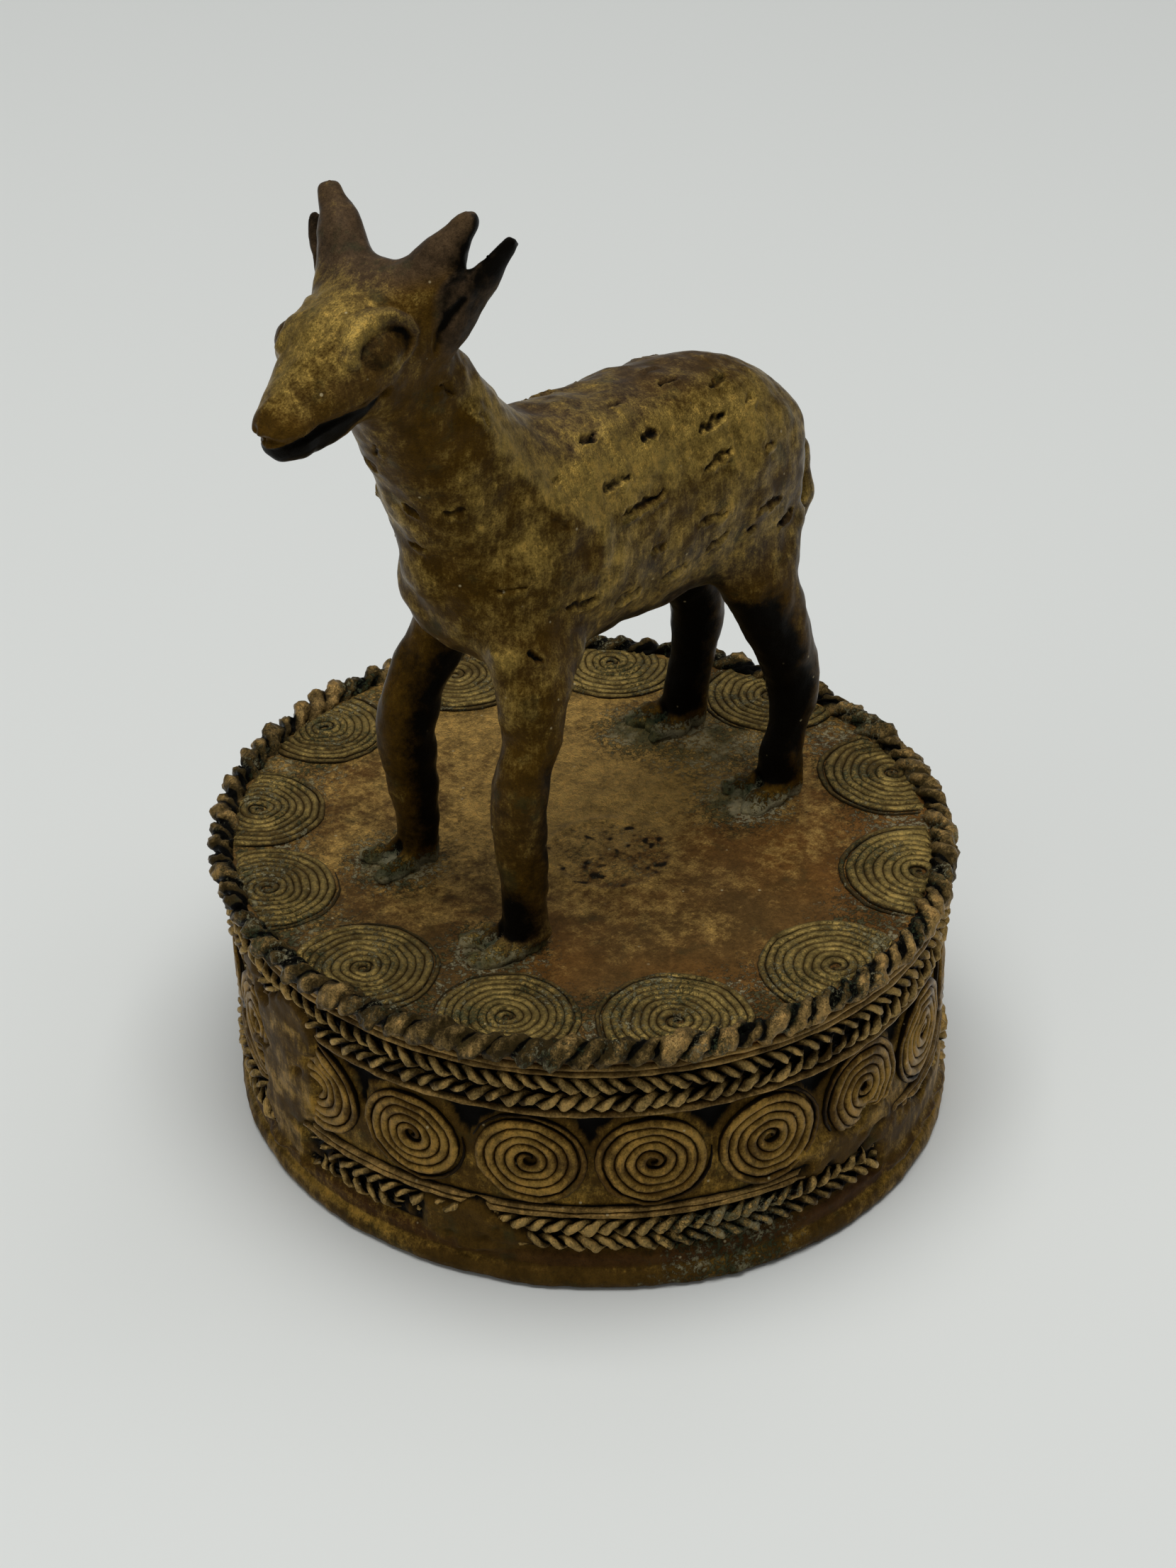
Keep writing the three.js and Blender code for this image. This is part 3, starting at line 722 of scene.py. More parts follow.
# %% The two braids
for node, way in [
    ("upper_braid_high_thread", -1),
    ("upper_braid_low_thread", 1),
    ("lower_braid_high_thread", 1),
    ("lower_braid_low_thread", -1),
]:
    middle = sum(rise_of(node)) / 2
    cord = twisted_cord(node + "_cord", 2.05, 65, way, wall_out + 0.72, middle, thread=0.56)
    sink(cord, 1.5)
    points = points_of(cord)
    angle = bearing(points)
    # the cords on the box's right side are made lighter, painted light
    mark(
        cord,
        rub=patchy(points, 0.46, (0.3, 10, 2), (0.3, 1.3, 6)) + 0.25 * near(angle, -52, 34),
        crust=0.6 * near(angle, -114, 20) * (points[:, 2] < 0.012),
    )
    lean(cord)
    finish_piece(cord, "box", [node], "braid")

# %% [markdown]
# ## Plain wires and the rim
#
# Thin threads run above and below the coils, and two lie at the rim. They are rods laid round the
# wall, a little wavy because they were pressed down with a fingertip.


# %% Wires
def wire(name, out, height, thick, tall, seed):
    """A plain thread that stands on the wall. thick is across the wall, tall is along it."""
    rod = roll_rod(name, 10, 300, 1, radius=(thick / 2, tall / 2))
    mark(rod, crown=0.35 + 0.5 * points_of(rod)[:, 0] / thick * 2 * 0.6)
    lay(rod, round_the_wall(wall_out + out, height))
    close_seams(rod)
    waver(rod, (2, 0.22, 11, seed))
    points = points_of(rod)
    age(rod, (0.16, 2, seed))
    sink(rod, 1.2)
    mark(rod, rub=patchy(points, 0.56, (0.3, 7, seed + 4)))
    lean(rod)
    return rod


low, high = rise_of("lower_wire")
lower = [(0.5, low + 0.3, 1.3, 0.7, 1), (0.4, high - 0.3, 1.1, 0.6, 2)]
low, high = rise_of("upper_wire")
upper = [(0.55, (low + high) / 2, 1.3, 0.75, 5)]
low, high = rise_of("rim_wires")
rim = [(0.55, low + 0.4, 1.4, 0.8, 9), (0.5, high - 0.35, 1.4, 0.9, 12)]
for node, threads in (("lower_wire", lower), ("upper_wire", upper), ("rim_wires", rim)):
    name = node.replace("rim_wires", "rim") + "_thread"
    finish_piece(joined(*(wire(name, *thread) for thread in threads)), "box", [node], "wire")

# %% [markdown]
# ## Spiral coils
#
# Each coil is one long thread wound flat. A rod is laid so that its length runs round and round
# while its radius grows by one thread's width a turn. Both ends taper away, so the coil ends round.
# The coil is wound flat once, then pressed on the wall or on the lid, each copy turned and bent a
# little differently because no two were wound alike.


# %% Wind a flat coil
def wind_coil(name, diameter, turns, tall, full=0.56, sides=10, steps=26, taper=0.9):
    """Flat on z = 0 in millimetres, with its crown up. full is the thread's share of the pitch."""
    pitch = diameter / 2 / (turns + 0.3)
    rod = roll_rod(name, sides, int(steps * turns), turns)
    x, y, z = points_of(rod).T
    swell = np.sqrt(np.clip(np.minimum(z, turns - z) / taper, 0.02, 1))
    turn = 2 * math.pi * z
    out = pitch * (0.32 + z) + x * pitch * full * swell
    flat = np.where(y > 0, np.abs(y) ** 0.85, y)
    level = tall * 0.35 + flat * tall * 0.65 * swell
    set_points(rod, np.stack([out * np.cos(turn), out * np.sin(turn), level], axis=1))
    mark(rod, crown=np.clip(y * swell, 0, 1) ** 1.7)
    with edit_mode(rod):
        bpy.ops.mesh.remove_doubles(threshold=1e-6)
        bpy.ops.mesh.select_all(action="DESELECT")
        bpy.ops.mesh.select_non_manifold()
        bpy.ops.mesh.edge_face_add()
        bpy.ops.mesh.select_all(action="SELECT")
        bpy.ops.mesh.normals_make_consistent(inside=False)
    return rod


shapes = np.random.default_rng(7)


def turned_copy(coil, name, scale=1):
    """A copy with its own mesh, turned by chance. Also gives the turn and the points."""
    twin = coil.copy()
    twin.data = coil.data.copy()
    twin.name = name
    bpy.context.scene.collection.objects.link(twin)
    x, y, z = points_of(twin).T * scale
    spin = shapes.uniform(0, 2 * math.pi)
    x, y = x * math.cos(spin) - y * math.sin(spin), x * math.sin(spin) + y * math.cos(spin)
    return twin, spin, x, y, z


# %% The coils round the wall
flat_coil = wind_coil("flat_coil", 12.7, 5.4, 1.05, full=0.53)
side_nodes = sorted(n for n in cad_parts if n.startswith("side_coil_"))
SIZES = {0: (13.5, 12.5, 0.1), 1: (13.5, 12.8, 0.1), 2: (12.8, 12.9, 0.5), 17: (12.9, 11.9, 0)}
for count, node in enumerate(side_nodes):
    coil, spin, x, y, z = turned_copy(flat_coil, node + "_thread")
    drawn_size = [shapes.uniform(*ends) for ends in ((12.7, 13.4), (12.2, 12.7), (-0.2, 0.3))]
    wide, tall, lift = SIZES.get(count, drawn_size)
    squeeze = shapes.uniform(-0.05, 0.05)
    x, y = x * wide / 12.7 + y * squeeze, y * tall / 12.7
    turn = math.radians(FIRST_COIL + 360 / len(side_nodes) * count) + x / (wall_out + 0.8)
    out = wall_out + 0.2 + z
    height = coil_middle + y + lift
    set_points(coil, np.stack([out * np.cos(turn), out * np.sin(turn), height], axis=1) * MM)
    points = points_of(coil)
    waver(coil, (2, 0.26, 2.2, spin))
    press_out(coil, points, patchy(points, 0, (0.26, 2.2, spin + 30)))
    points = points_of(coil)
    sink(coil, 0.7)
    rubbed = patchy(points, 0.46, (0.3, 6, spin), (0.3, 1.6, spin))
    # the coils on the box's right side are made lighter, painted light
    mark(coil, rub=rubbed + 0.22 * near(bearing(points), -56, 36))
    lean(coil)
    finish_piece(coil, "box", [node], "side_coil")

# %% [markdown]
# ## The lid
#
# The plate is a disc with a slightly wavy top. Dust and crust lie round the feet, and a rough
# round spot stays in the middle where something once stood. The rope is the thickest cord of all
# and covers the joint between plate and coils.

# %% Lid plate and collar
plate_low, plate_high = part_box("lid_plate")
lid_middle = (plate_low + plate_high) / 2
lid_x, lid_y = lid_middle.x / MM, lid_middle.y / MM
under, top = plate_low.z / MM, plate_high.z / MM
collar_low = rise_of("lid_collar")[0]
collar_out, rope_out = (
    (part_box(node)[1].x - lid_middle.x) / MM for node in ("lid_collar", "lid_rope")
)
rope_radius = rope_out - 1.8
outline = [
    (0, under),
    (collar_out - 1.4, under),
    (collar_out - 1.2, collar_low + 0.3),
    (collar_out - 0.9, collar_low),
    (collar_out - 0.4, collar_low),
    (collar_out, collar_low + 0.5),
    (collar_out, under),
    (rope_radius, under + 0.1),
    (rope_radius, top - 0.2),
    (rope_radius - 1.5, top),
    (0, top),
]


def onto_lid(obj):
    """Moves a piece from the box's axis to the middle of the lid, and gives its points."""
    points = points_of(obj)
    points[:, :2] += np.array([lid_x, lid_y]) * MM
    set_points(obj, points)
    return points


outline = divide(outline, 0.5, lambda r, h: h > top - 0.25)
plate = turn_outline("lid_plate_casting", outline, 400)
points = onto_lid(plate)
x, y, z = points.T / MM
on_top = z > top - 0.05
FEET = [(-25.5, -8.5), (-21.5, 12), (16.5, -7.5), (19.5, 11.5)]
crust = 0.75 * np.exp(-(((x - 24) / 9) ** 2) - ((y - 4) / 9) ** 2)
swell = np.zeros(len(points))
for foot_x, foot_y in FEET:
    away = np.hypot(x - foot_x, y - foot_y)
    crust = np.maximum(crust, np.exp(-((away / 5.5) ** 2)))
    swell += 0.25 * np.exp(-((away / 4) ** 2))
spot = np.hypot(x + 2.3, y + 4.1)
ring = np.exp(-(((spot - 7.2) / 0.6) ** 2))
inside = 1 / (1 + np.exp((spot - 7.2) / 0.4))
soft = patchy(points, 0, (0.16, 9, 6), (0.07, 2.2, 2))
points[:, 2] += on_top * (swell + 0.14 * ring + soft) * MM
set_points(plate, points)
crown = patchy(points, 0.56 - 0.08 * inside, (0.15, 4, 9), (0.3, 1.1, 19))
crown -= 0.9 * np.clip(patchy(points, -0.12, (1, 1, 29)), 0, 1) * inside
# painted light: the plate is made paler in a long pool under the belly, lighter towards the back,
# and darker towards the right and the front; the raised ring is rubbed lighter and the rough spot
# inside it a little darker
glow = np.exp(-(((x - 4) / 24) ** 2) - ((y - 4) / 9) ** 2)
backward = 0.82 * x + 0.58 * y
rightward = np.clip((x - y) / 57, -1, 1)
painted_light_and_wear = 0.60 * glow + 0.40 * np.clip(backward / 38, -0.7, 0.6) + 0.22 * ring
painted_light_and_wear -= 0.55 * np.clip(rightward - 0.05, 0, 1) + 0.05 * inside
painted_light_and_wear -= 0.22 * ramp(-backward, 8, 16) * (rightward > -0.6)
crust = np.maximum(crust, 0.5 * ramp(np.hypot(x - lid_x, y - lid_y), 27, 9))
mark(
    plate,
    crown=np.where(on_top, crown, 0.4),
    rub=patchy(points, 0.45 + painted_light_and_wear, (0.3, 14, 4)),
    plum=patchy(points, 0.25 + 0.3 * rightward, (0.4, 18, 14)),
    crust=on_top * np.maximum(crust, 0.22 * inside),
)
finish_piece(plate, "lid", ["lid_plate", "lid_collar"], "lid")

# %% The rope round the lid
rope = twisted_cord(
    "lid_rope_cord", 3.6, 44, 1, rope_radius, top, thread=1.22, sides=16, steps=24, dark=0.6
)
points = onto_lid(rope)
angle = bearing(points)
age(rope, (0.40, 1.8, 13), (0.35, 0.8, 3))
rubbed = patchy(points, 0.40, (0.30, 9, 3), (0.25, 1.5, 23))
rubbed += 0.22 * near(angle, -88, 45) - 0.42 * near(angle, -158, 36)
# painted shade: the underside of the rope is made darker at the left, where it hangs out over the
# rim
rubbed -= 0.4 * ramp(points[:, 2] / MM, top - 0.2, -1) * near(angle, -155, 50)
crust = 0.6 * np.clip(patchy(points, 0.4, (1, 7, 8)), 0, 1)
mark(rope, rub=rubbed, crust=crust)
finish_piece(rope, "lid", ["lid_rope"], "rope")

# %% The coils on the lid, tucked under the rope: bearing, distance from the middle, diameter
LID_COILS = [
    (-148.5, 37, 16.4), (-120, 38, 17.8), (-88.5, 38.4, 17.9), (-56.5, 39.6, 18.8),
    (-26, 39.4, 17.8), (7, 38.4, 17.4), (39, 38, 17.2), (69.5, 38, 17),
    (100, 38.3, 15.8), (129, 38.4, 16.2), (153.6, 38, 16.4), (183, 36.6, 16.9),
]
wide_coil = wind_coil("wide_coil", 17, 8.6, 0.62, full=0.54, steps=30)
lid_nodes = sorted(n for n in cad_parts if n.startswith("lid_coil_"))
limit = rope_radius - 1.2
for node, (angle, distance, diameter) in zip(lid_nodes, LID_COILS):
    coil, spin, x, y, z = turned_copy(wide_coil, node + "_thread", diameter / 17)
    x = distance * math.cos(math.radians(angle)) + x
    y = distance * math.sin(math.radians(angle)) + y
    radius = np.hypot(x, y)
    z = np.where(radius > limit, np.minimum(z, 0.05), z)
    x, y = (v * np.minimum(radius, limit) / radius for v in (x, y))
    set_points(coil, np.stack([x + lid_x, y + lid_y, z + top - 0.15], axis=1) * MM)
    waver(coil, (0, 0.3, 3, spin), (1, 0.3, 3, spin + 9), (2, 0.16, 1.8, spin + 5))
    points = points_of(coil)
    rubbed = patchy(points, 0.5, (0.3, 7, spin), (0.4, 1.4, spin))
    rubbed -= 0.12 * near(angle, 130, 60) + 0.16 * near(angle, -5, 45)
    mark(coil, rub=rubbed, crust=patchy(points, 0.24, (0.35, 5, spin)))
    finish_piece(coil, "lid", [node], "lid_coil")
for spare in (flat_coil, wide_coil):
    bpy.data.objects.remove(spare)

# %% [markdown]
# ## The antelope
#
# The maker modelled the animal in one lump of wax. Here its masses are first drawn as rods that
# swell and taper through oval stations: trunk, neck, head, legs, toes, horns, ears and tail. They
# are joined and remeshed into one skin, smoothed where a thumb would have blended them, and then
# worked with small pushes and grooves, as with a wooden tool.


# %% Draw a limb through its stations
def drawn(stations, z):
    """A smooth run through the stations at the places z."""
    last = len(stations) - 1
    k = np.clip(np.floor(z).astype(int), 0, last - 1)
    t = (np.clip(z, 0, last) - k)[:, None]
    p0, p1 = stations[np.maximum(k - 1, 0)], stations[k]
    p2, p3 = stations[k + 1], stations[np.minimum(k + 2, last)]
    bend = (p2 - p0) * t + (2 * p0 - 5 * p1 + 4 * p2 - p3) * t**2 + (3 * (p1 - p2) + p3 - p0) * t**3
    return p1 + bend * 0.5


def limb(name, stations, across=(0, 1, 0), sides=28, between=6, bulge=0.6, square=1):
    """Stations are x, y, z, half width across and half depth, in mm over the lid's top."""
    stations = np.array(stations, float)
    last = len(stations) - 1
    rod = roll_rod(name, sides, (last + 2) * between, last + 2, start=-1)

    def place(x, y, z):
        row = drawn(stations, z)
        ahead = drawn(stations, np.clip(z, 0, last) + 0.05)
        behind = drawn(stations, np.clip(z, 0, last) - 0.05)
        along = ahead[:, :3] - behind[:, :3]
        along /= np.linalg.norm(along, axis=1)[:, None]
        side = np.array(across) - along * (along @ np.array(across))[:, None]
        side /= np.linalg.norm(side, axis=1)[:, None]
        depth = np.cross(along, side)
        past = np.where(z < 0, z, np.where(z > last, z - last, 0))
        dome = np.sqrt(np.clip(1 - past**2, 0, 1))
        reach = bulge * np.minimum(row[:, 3], row[:, 4])
        centre = row[:, :3] + along * (past * reach)[:, None]
        x, y = (np.sign(v) * np.abs(v) ** square for v in (x, y))
        centre += side * (x * row[:, 3] * dome)[:, None]
        centre += depth * (y * row[:, 4] * dome)[:, None]
        return (centre + origin).T

    lay(rod, place)
    close_seams(rod, 1e-6)
    return rod


origin = np.array([1.8, 0.6, top])

# %% Trunk, neck and tail
TRUNK = [
    (-28.1, 0, 47, 3.6, 4.6), (-26.4, 0, 47, 7, 8.6), (-22, 0, 46.2, 9.6, 12.4),
    (-15, 0, 44.8, 10.6, 13.8), (-5, 0, 43.8, 10.2, 14), (4, 0, 43.6, 10, 13.7),
    (11, 0, 43.2, 10.2, 13.3), (17, 0, 41.4, 10, 11.9), (21.2, 0, 39.1, 8.6, 9.7),
    (24.3, 0, 37.6, 5.6, 6.6), (25.6, 0, 37.8, 2.6, 3.6),
]
NECK = [
    (-17.5, 0, 47, 8.8, 10.8), (-22, 0, 53.5, 8.4, 9.4), (-26.2, 0, 60, 7.4, 7.9),
    (-30, 0, 66, 6.6, 6.9), (-33, 0, 71.5, 6, 6.2),
]
TAIL = [
    (23.4, 0, 46.6, 1.6, 1.6), (27, 0, 43.4, 2.1, 1.8), (29.9, 0, 38.4, 2.5, 1.9),
    (30.8, 0, 32, 2.3, 1.7), (30.6, 0, 27.8, 1.3, 1.1),
]
limbs = [
    limb("trunk", TRUNK, square=0.86),
    limb("neck", NECK, square=0.92),
    limb("tail", TAIL, sides=16),
]

# %% Legs and cloven feet
LEGS = {
    "front_left": (
        (-20.3, -7.9, 36, 3.4, 7.4), (-21.8, -9.5, 31, 3.4, 4.9), (-22.6, -10.1, 26.5, 3.2, 3.4),
        (-24.6, -10.4, 22, 3.2, 3.6), (-25, -10.5, 18, 3, 3.2), (-24.4, -10.5, 12, 2.8, 2.9),
        (-24, -10.5, 5, 2.5, 2.6), (-24, -10.5, 1.2, 2.6, 2.8),
    ),
    "front_right": (
        (-15.5, 7.9, 36, 3.4, 6), (-17, 9.7, 30, 3.3, 4.1), (-19.4, 10.5, 25, 3.2, 3.4),
        (-21.4, 10.7, 20, 3.2, 3.6), (-21.6, 10.7, 16, 3.1, 3.3), (-20.8, 10.5, 10, 2.9, 3),
        (-20.4, 10.5, 4, 2.5, 2.6), (-20.4, 10.5, 1.2, 2.6, 2.8),
    ),
    "hind_left": (
        (16, -6.6, 35, 3.6, 8.2), (16.9, -7.9, 28, 3.7, 5.1), (19.4, -8.7, 22, 3.4, 4.3),
        (21.4, -9.1, 16.5, 3.1, 3.5), (21.6, -9.3, 12, 2.9, 3), (20.6, -9.3, 7, 2.6, 2.7),
        (20, -9.3, 1.2, 2.6, 2.7),
    ),
    "hind_right": (
        (18.5, 6.6, 35, 3.6, 8), (20.6, 7.9, 28, 3.8, 5.5), (23, 8.9, 22, 3.4, 4.3),
        (25, 9.3, 15.5, 3, 3.3), (24.6, 9.3, 10, 2.8, 2.9), (23.6, 9.3, 5, 2.6, 2.7),
        (23.2, 9.3, 1.2, 2.6, 2.7),
    ),
}
FOOT_HEADING = {"front_left": 152, "front_right": 165, "hind_left": 163, "hind_right": 165}
TOE = [(-1.8, 1.6, 1.2), (0.5, 2.2, 1.6), (4.3, 1.9, 1.2), (7, 1.1, 0.7)]
for leg, stations in LEGS.items():
    limbs.append(limb(leg, stations, sides=20))
    ankle_x, ankle_y = stations[-1][:2]
    for spread in (-24, 24):
        turn = math.radians(FOOT_HEADING[leg] + spread)
        toe = [
            (ankle_x + a * math.cos(turn), ankle_y + a * math.sin(turn), h * 0.5, w, h)
            for a, w, h in TOE
        ]
        across = (-math.sin(turn), math.cos(turn), 0)
        limbs.append(limb(leg + "_toe", toe, across=across, sides=12, between=3))

# %% Head, horns and ears, in the head's own turned frame
head_frame = (
    Matrix.Translation((-36.5, 0, 75.2))
    @ Matrix.Rotation(math.radians(12), 4, "Z")
    @ Matrix.Rotation(math.radians(-7), 4, "Y")
    @ Matrix.Rotation(math.radians(-6), 4, "X")
)
head_across = tuple(head_frame.to_3x3() @ Vector((0, 1, 0)))
HEAD = [
    (8.2, 0, 0.2, 3.6, 3.4), (6.2, 0, 0.1, 6, 5.6), (1.5, 0, 0, 6.9, 6.3),
    (-3.5, 0, -0.6, 6.3, 6), (-8.5, 0, -1.6, 4.8, 4.9), (-12.4, 0, -2.3, 3.8, 4),
    (-15, 0, -2.7, 3.4, 3.4), (-16.6, 0, -2.9, 2.3, 2.3),
]
NEAR_HORN = [
    (3, -2.7, 1.6, 4.2, 4.2), (5, -4.5, 4, 3.6, 3.6), (6.5, -6, 6.4, 2.7, 2.7),
    (7.8, -7.2, 8.1, 2, 2), (8.9, -8.3, 9.6, 1.6, 1.6), (9.4, -8.8, 10.3, 1.3, 1.3),
]
FAR_HORN = [
    (1.8, 2.2, 1.4, 4.4, 4.4), (4, 3.8, 3.8, 3.9, 3.9), (5.8, 5.4, 6.4, 3, 3),
    (7.4, 6.9, 8.3, 2.3, 2.3), (8.9, 8.4, 10, 1.7, 1.7), (9.5, 8.9, 10.9, 1.4, 1.4),
]
HORN_KNOB = [(7.8, 6.9, 8.6, 1, 1), (9.7, 6.4, 9, 0.7, 0.7)]
NEAR_EAR = [
    (3, -5.4, -3.6, 1.2, 1.2), (4.1, -7.3, -1, 1.1, 2.2), (5.9, -8.7, 2, 1, 2.8),
    (8.2, -10.4, 5.1, 0.9, 2.4), (11, -12.1, 7.4, 0.7, 1.2),
]
FAR_EAR = [
    (3.6, 4.8, -4, 1.3, 1.4), (5, 6.9, -2, 1.1, 2), (7.2, 9.2, 1.2, 1, 2.1),
    (9.2, 11.3, 4.6, 0.85, 1.5), (10.2, 12.2, 6.9, 0.6, 0.8),
]


def head_limb(name, stations, **settings):
    placed = [(*(head_frame @ Vector(station[:3])), *station[3:]) for station in stations]
    limbs.append(limb(name, placed, across=head_across, **settings))


head_limb("head", HEAD, bulge=0.4, square=0.93)
for horn in (NEAR_HORN, FAR_HORN, HORN_KNOB):
    head_limb("horn", horn, sides=16, bulge=0.5)
for ear in (NEAR_EAR, FAR_EAR):
    head_limb("ear", ear, sides=16, bulge=0.5)

# %% Join the masses into one skin
antelope = joined(*limbs)
antelope.name = "antelope_casting"
skin = antelope.modifiers.new("one skin", "REMESH")
skin.mode = "VOXEL"
skin.voxel_size = 0.5 * MM
apply_modifiers(antelope)
print("antelope skin", len(antelope.data.vertices), "points")


# %% Blend the masses with the thumb
inverse = head_frame.inverted()
turned = np.array(inverse.to_3x3())


def to_head(points):
    """Places over the lid's top, in mm, as the head's own frame has them."""
    return points @ turned.T + np.array(inverse.translation)


def fill_creases(obj, rounds, share):
    """Moves hollow places outwards only, as wax pressed into a crease."""
    mean = neighbour_mean(obj)
    for _ in range(rounds // 12):
        points, normals = points_of(obj), normals_of(obj)
        for _ in range(12):
            rise = ((mean(points) - points) * normals).sum(axis=1)
            points = points + normals * (np.clip(rise, 0, None) * share)[:, None]
        set_points(obj, points)


local = points_of(antelope) / MM - origin
on_face = to_head(local)
aside, height = np.abs(local[:, 1]), local[:, 2]
thin = (on_face[:, 2] > 4) | ((on_face[:, 0] > 3) & (np.abs(on_face[:, 1]) > 5.5))
fine_work = thin | (height < 3)
set_points(antelope, smoothed(antelope, 9, np.where(fine_work, 0.15, 1)))
fill_creases(antelope, 132, np.where(height < 4, 0.15, 0.9))
hips = (height > 25) & (height < 46) & (aside > 5) & ~thin
set_points(antelope, smoothed(antelope, 23, np.where(hips, 1, 0.15 - 0.1 * fine_work)))


# %% Divide the skin where small tools will work
# The strokes that show in the photograph, each from one end to the other, over the lid's top
STROKES = [
    (4.6, -2.2, 56.9, 6.7, -2.3, 56.8), (10.1, -4.9, 55.5, 12.9, -4.4, 55.4),
    (13.7, -7, 53.5, 15.1, -7, 53.3), (5.8, -7.6, 52.6, 9, -7.6, 53.1),
    (5.2, -9.4, 49, 8.4, -9.4, 49.7), (-2.2, -6.7, 54.5, -0.3, -6.6, 54.4),
    (-10.9, -5.8, 56.6, -8.7, -5.4, 56.7), (-17.2, -7.8, 55.3, -16.4, -7.9, 55),
    (-4.5, -3.1, 57.4, -2.3, -2.8, 57.4), (14.1, -9.9, 48.4, 15.7, -9.7, 48.4),
    (-10.3, -8.9, 52.2, -6.7, -8.7, 52), (-8.1, -9.8, 48.7, -2.9, -9.7, 48.8),
    (13.3, -10.3, 41.3, 16.8, -9.6, 40.8), (17.4, -9.4, 37.3, 20, -9, 37.8),
    (3.9, -10.1, 43.3, 7, -10.2, 43.1), (5.4, -9.7, 39.1, 7.9, -10, 39.7),
    (-3.9, -10.2, 42.7, -2.1, -10.2, 42.5), (11.6, -10, 39.1, 12.5, -9.9, 38.7),
    (-1.6, -9.5, 38.2, 1.5, -9.7, 38.1), (-9, -9.8, 38, -5.5, -9.5, 38),
    (-30.3, -5.3, 55.3, -29, -6.5, 55.6), (-25.3, -8.6, 45, -23.1, -9.8, 45),
    (-23.5, -10.5, 37.7, -22.3, -10.9, 36.8), (-16.8, -10.2, 40.7, -13.4, -10.3, 40.3),
    (-19.2, -9.5, 52, -16.6, -9.9, 50.2), (-31.7, -6.3, 70.9, -30.5, -6.4, 69.6),
    (-27.8, -6.5, 66.2, -26.2, -6.7, 65.1), (-32.4, -1.1, 55.2, -32, -2.3, 54.6),
    (-30.3, -0.4, 50.3, -30.4, -2.4, 49.6), (-35, 1.1, 60.8, -34.5, 0.6, 59.7),
]
drift = np.random.default_rng(11)
strokes = np.array(STROKES).reshape(-1, 2, 3)
far_side = (strokes + drift.normal(0, 1.6, (len(strokes), 1, 3))) * (1, -1, 1)
strokes = np.concatenate([strokes, far_side])
local = points_of(antelope) / MM - origin
on_face = to_head(local)
chosen = (on_face[:, 2] > -6.8) & (np.abs(on_face[:, 0] + 3) < 17) & (local[:, 2] > 66)
for start, end in strokes:
    middle, half = (start + end) / 2, np.linalg.norm(end - start) / 2
    chosen |= np.linalg.norm(local - middle, axis=1) < half + 1.3
with edit_mode(antelope):
    bpy.ops.mesh.select_mode(type="VERT")
    bpy.ops.mesh.select_all(action="DESELECT")
antelope.data.vertices.foreach_set("select", chosen)
bpy.ops.object.mode_set(mode="EDIT")
bpy.ops.mesh.subdivide(number_cuts=1)
bpy.ops.mesh.vertices_smooth(factor=0.5, repeat=2)
bpy.ops.object.mode_set(mode="OBJECT")
print("skin after dividing", len(antelope.data.vertices), "points")


# %% Tools: a push and a groove
def push(points, normals, centre, reach, amount):
    """Moves the surface near a spot along its normal, in millimetres."""
    offset = (points - np.array(centre)) / np.array(reach)
    share = np.clip(1 - (offset**2).sum(axis=1), 0, 1) ** 2
    return points + normals * (share * amount)[:, None]


def nick(points, normals, start, end, width, depth, ragged):
    """A short cut, widest in the middle, with an edge as ragged as the places given for it."""
    run = end - start
    along = (ragged - start) @ run / (run @ run)
    taper = width * np.sqrt(np.clip(1 - (2 * along - 1) ** 2, 1e-6, 1))
    inside = (along > 0) & (along < 1)
    away = np.linalg.norm(ragged - start - np.clip(along, 0, 1)[:, None] * run, axis=1)
    share = np.clip(1 - (away / taper) ** 2, 0, 1) * inside
    return points - normals * (share * depth)[:, None]


def groove(points, normals, path, width, depth, seen_from=(1, 1, 1)):
    """Cuts along a path of points. A negative depth raises a ridge."""
    path = np.array(path, float) * seen_from
    flat = points * seen_from
    nearest = np.full(len(points), 1e9)
    for start, end in zip(path[:-1], path[1:]):
        run = end - start
        along = np.clip((flat - start) @ run / (run @ run), 0, 1)
        nearest = np.minimum(nearest, np.linalg.norm(flat - start - along[:, None] * run, axis=1))
    share = np.clip(1 - (nearest / width) ** 2, 0, 1) ** 1.5
    return points - normals * (share * depth)[:, None]


# %% Eyes, jaw, nostrils and ears
face = to_head(points_of(antelope) / MM - origin)
face_normals = normals_of(antelope) @ turned.T
shade = np.zeros(len(face))
lids = np.zeros(len(face))
EYEBALL = [(-5.2, 0, 1.8), (-3.6, 0, 2.2), (-1.8, 0, 2.1)]
CREASE = [(-6.6, 0, 2.3), (-5.4, 0, 3.1), (-3.9, 0, 3.5), (-2.2, 0, 3.5), (-0.8, 0, 2.9)]
UPPER_LID = [(-7.3, 0, 2.3), (-5.9, 0, 3.6), (-4, 0, 4.4), (-2.4, 0, 4.5), (-1, 0, 4.1)]
UPPER_LID += [(0, 0, 3.1), (0.2, 0, 2.3)]
LOWER_LID = [(0.2, 0, 1.9), (-0.3, 0, 0.9), (-1.6, 0, 0.1), (-3.2, 0, -0.2)]
GAP = [(4.6, 0, 3.7), (3.4, 0, 2.5), (2.3, 0, 0.8), (2, 0, -1)]


def moved(after, before):
    return np.linalg.norm(after - before, axis=1)


def carve(points, path, width, depth):
    return groove(points, face_normals, path, width, depth, seen_from=(1, 0, 1))


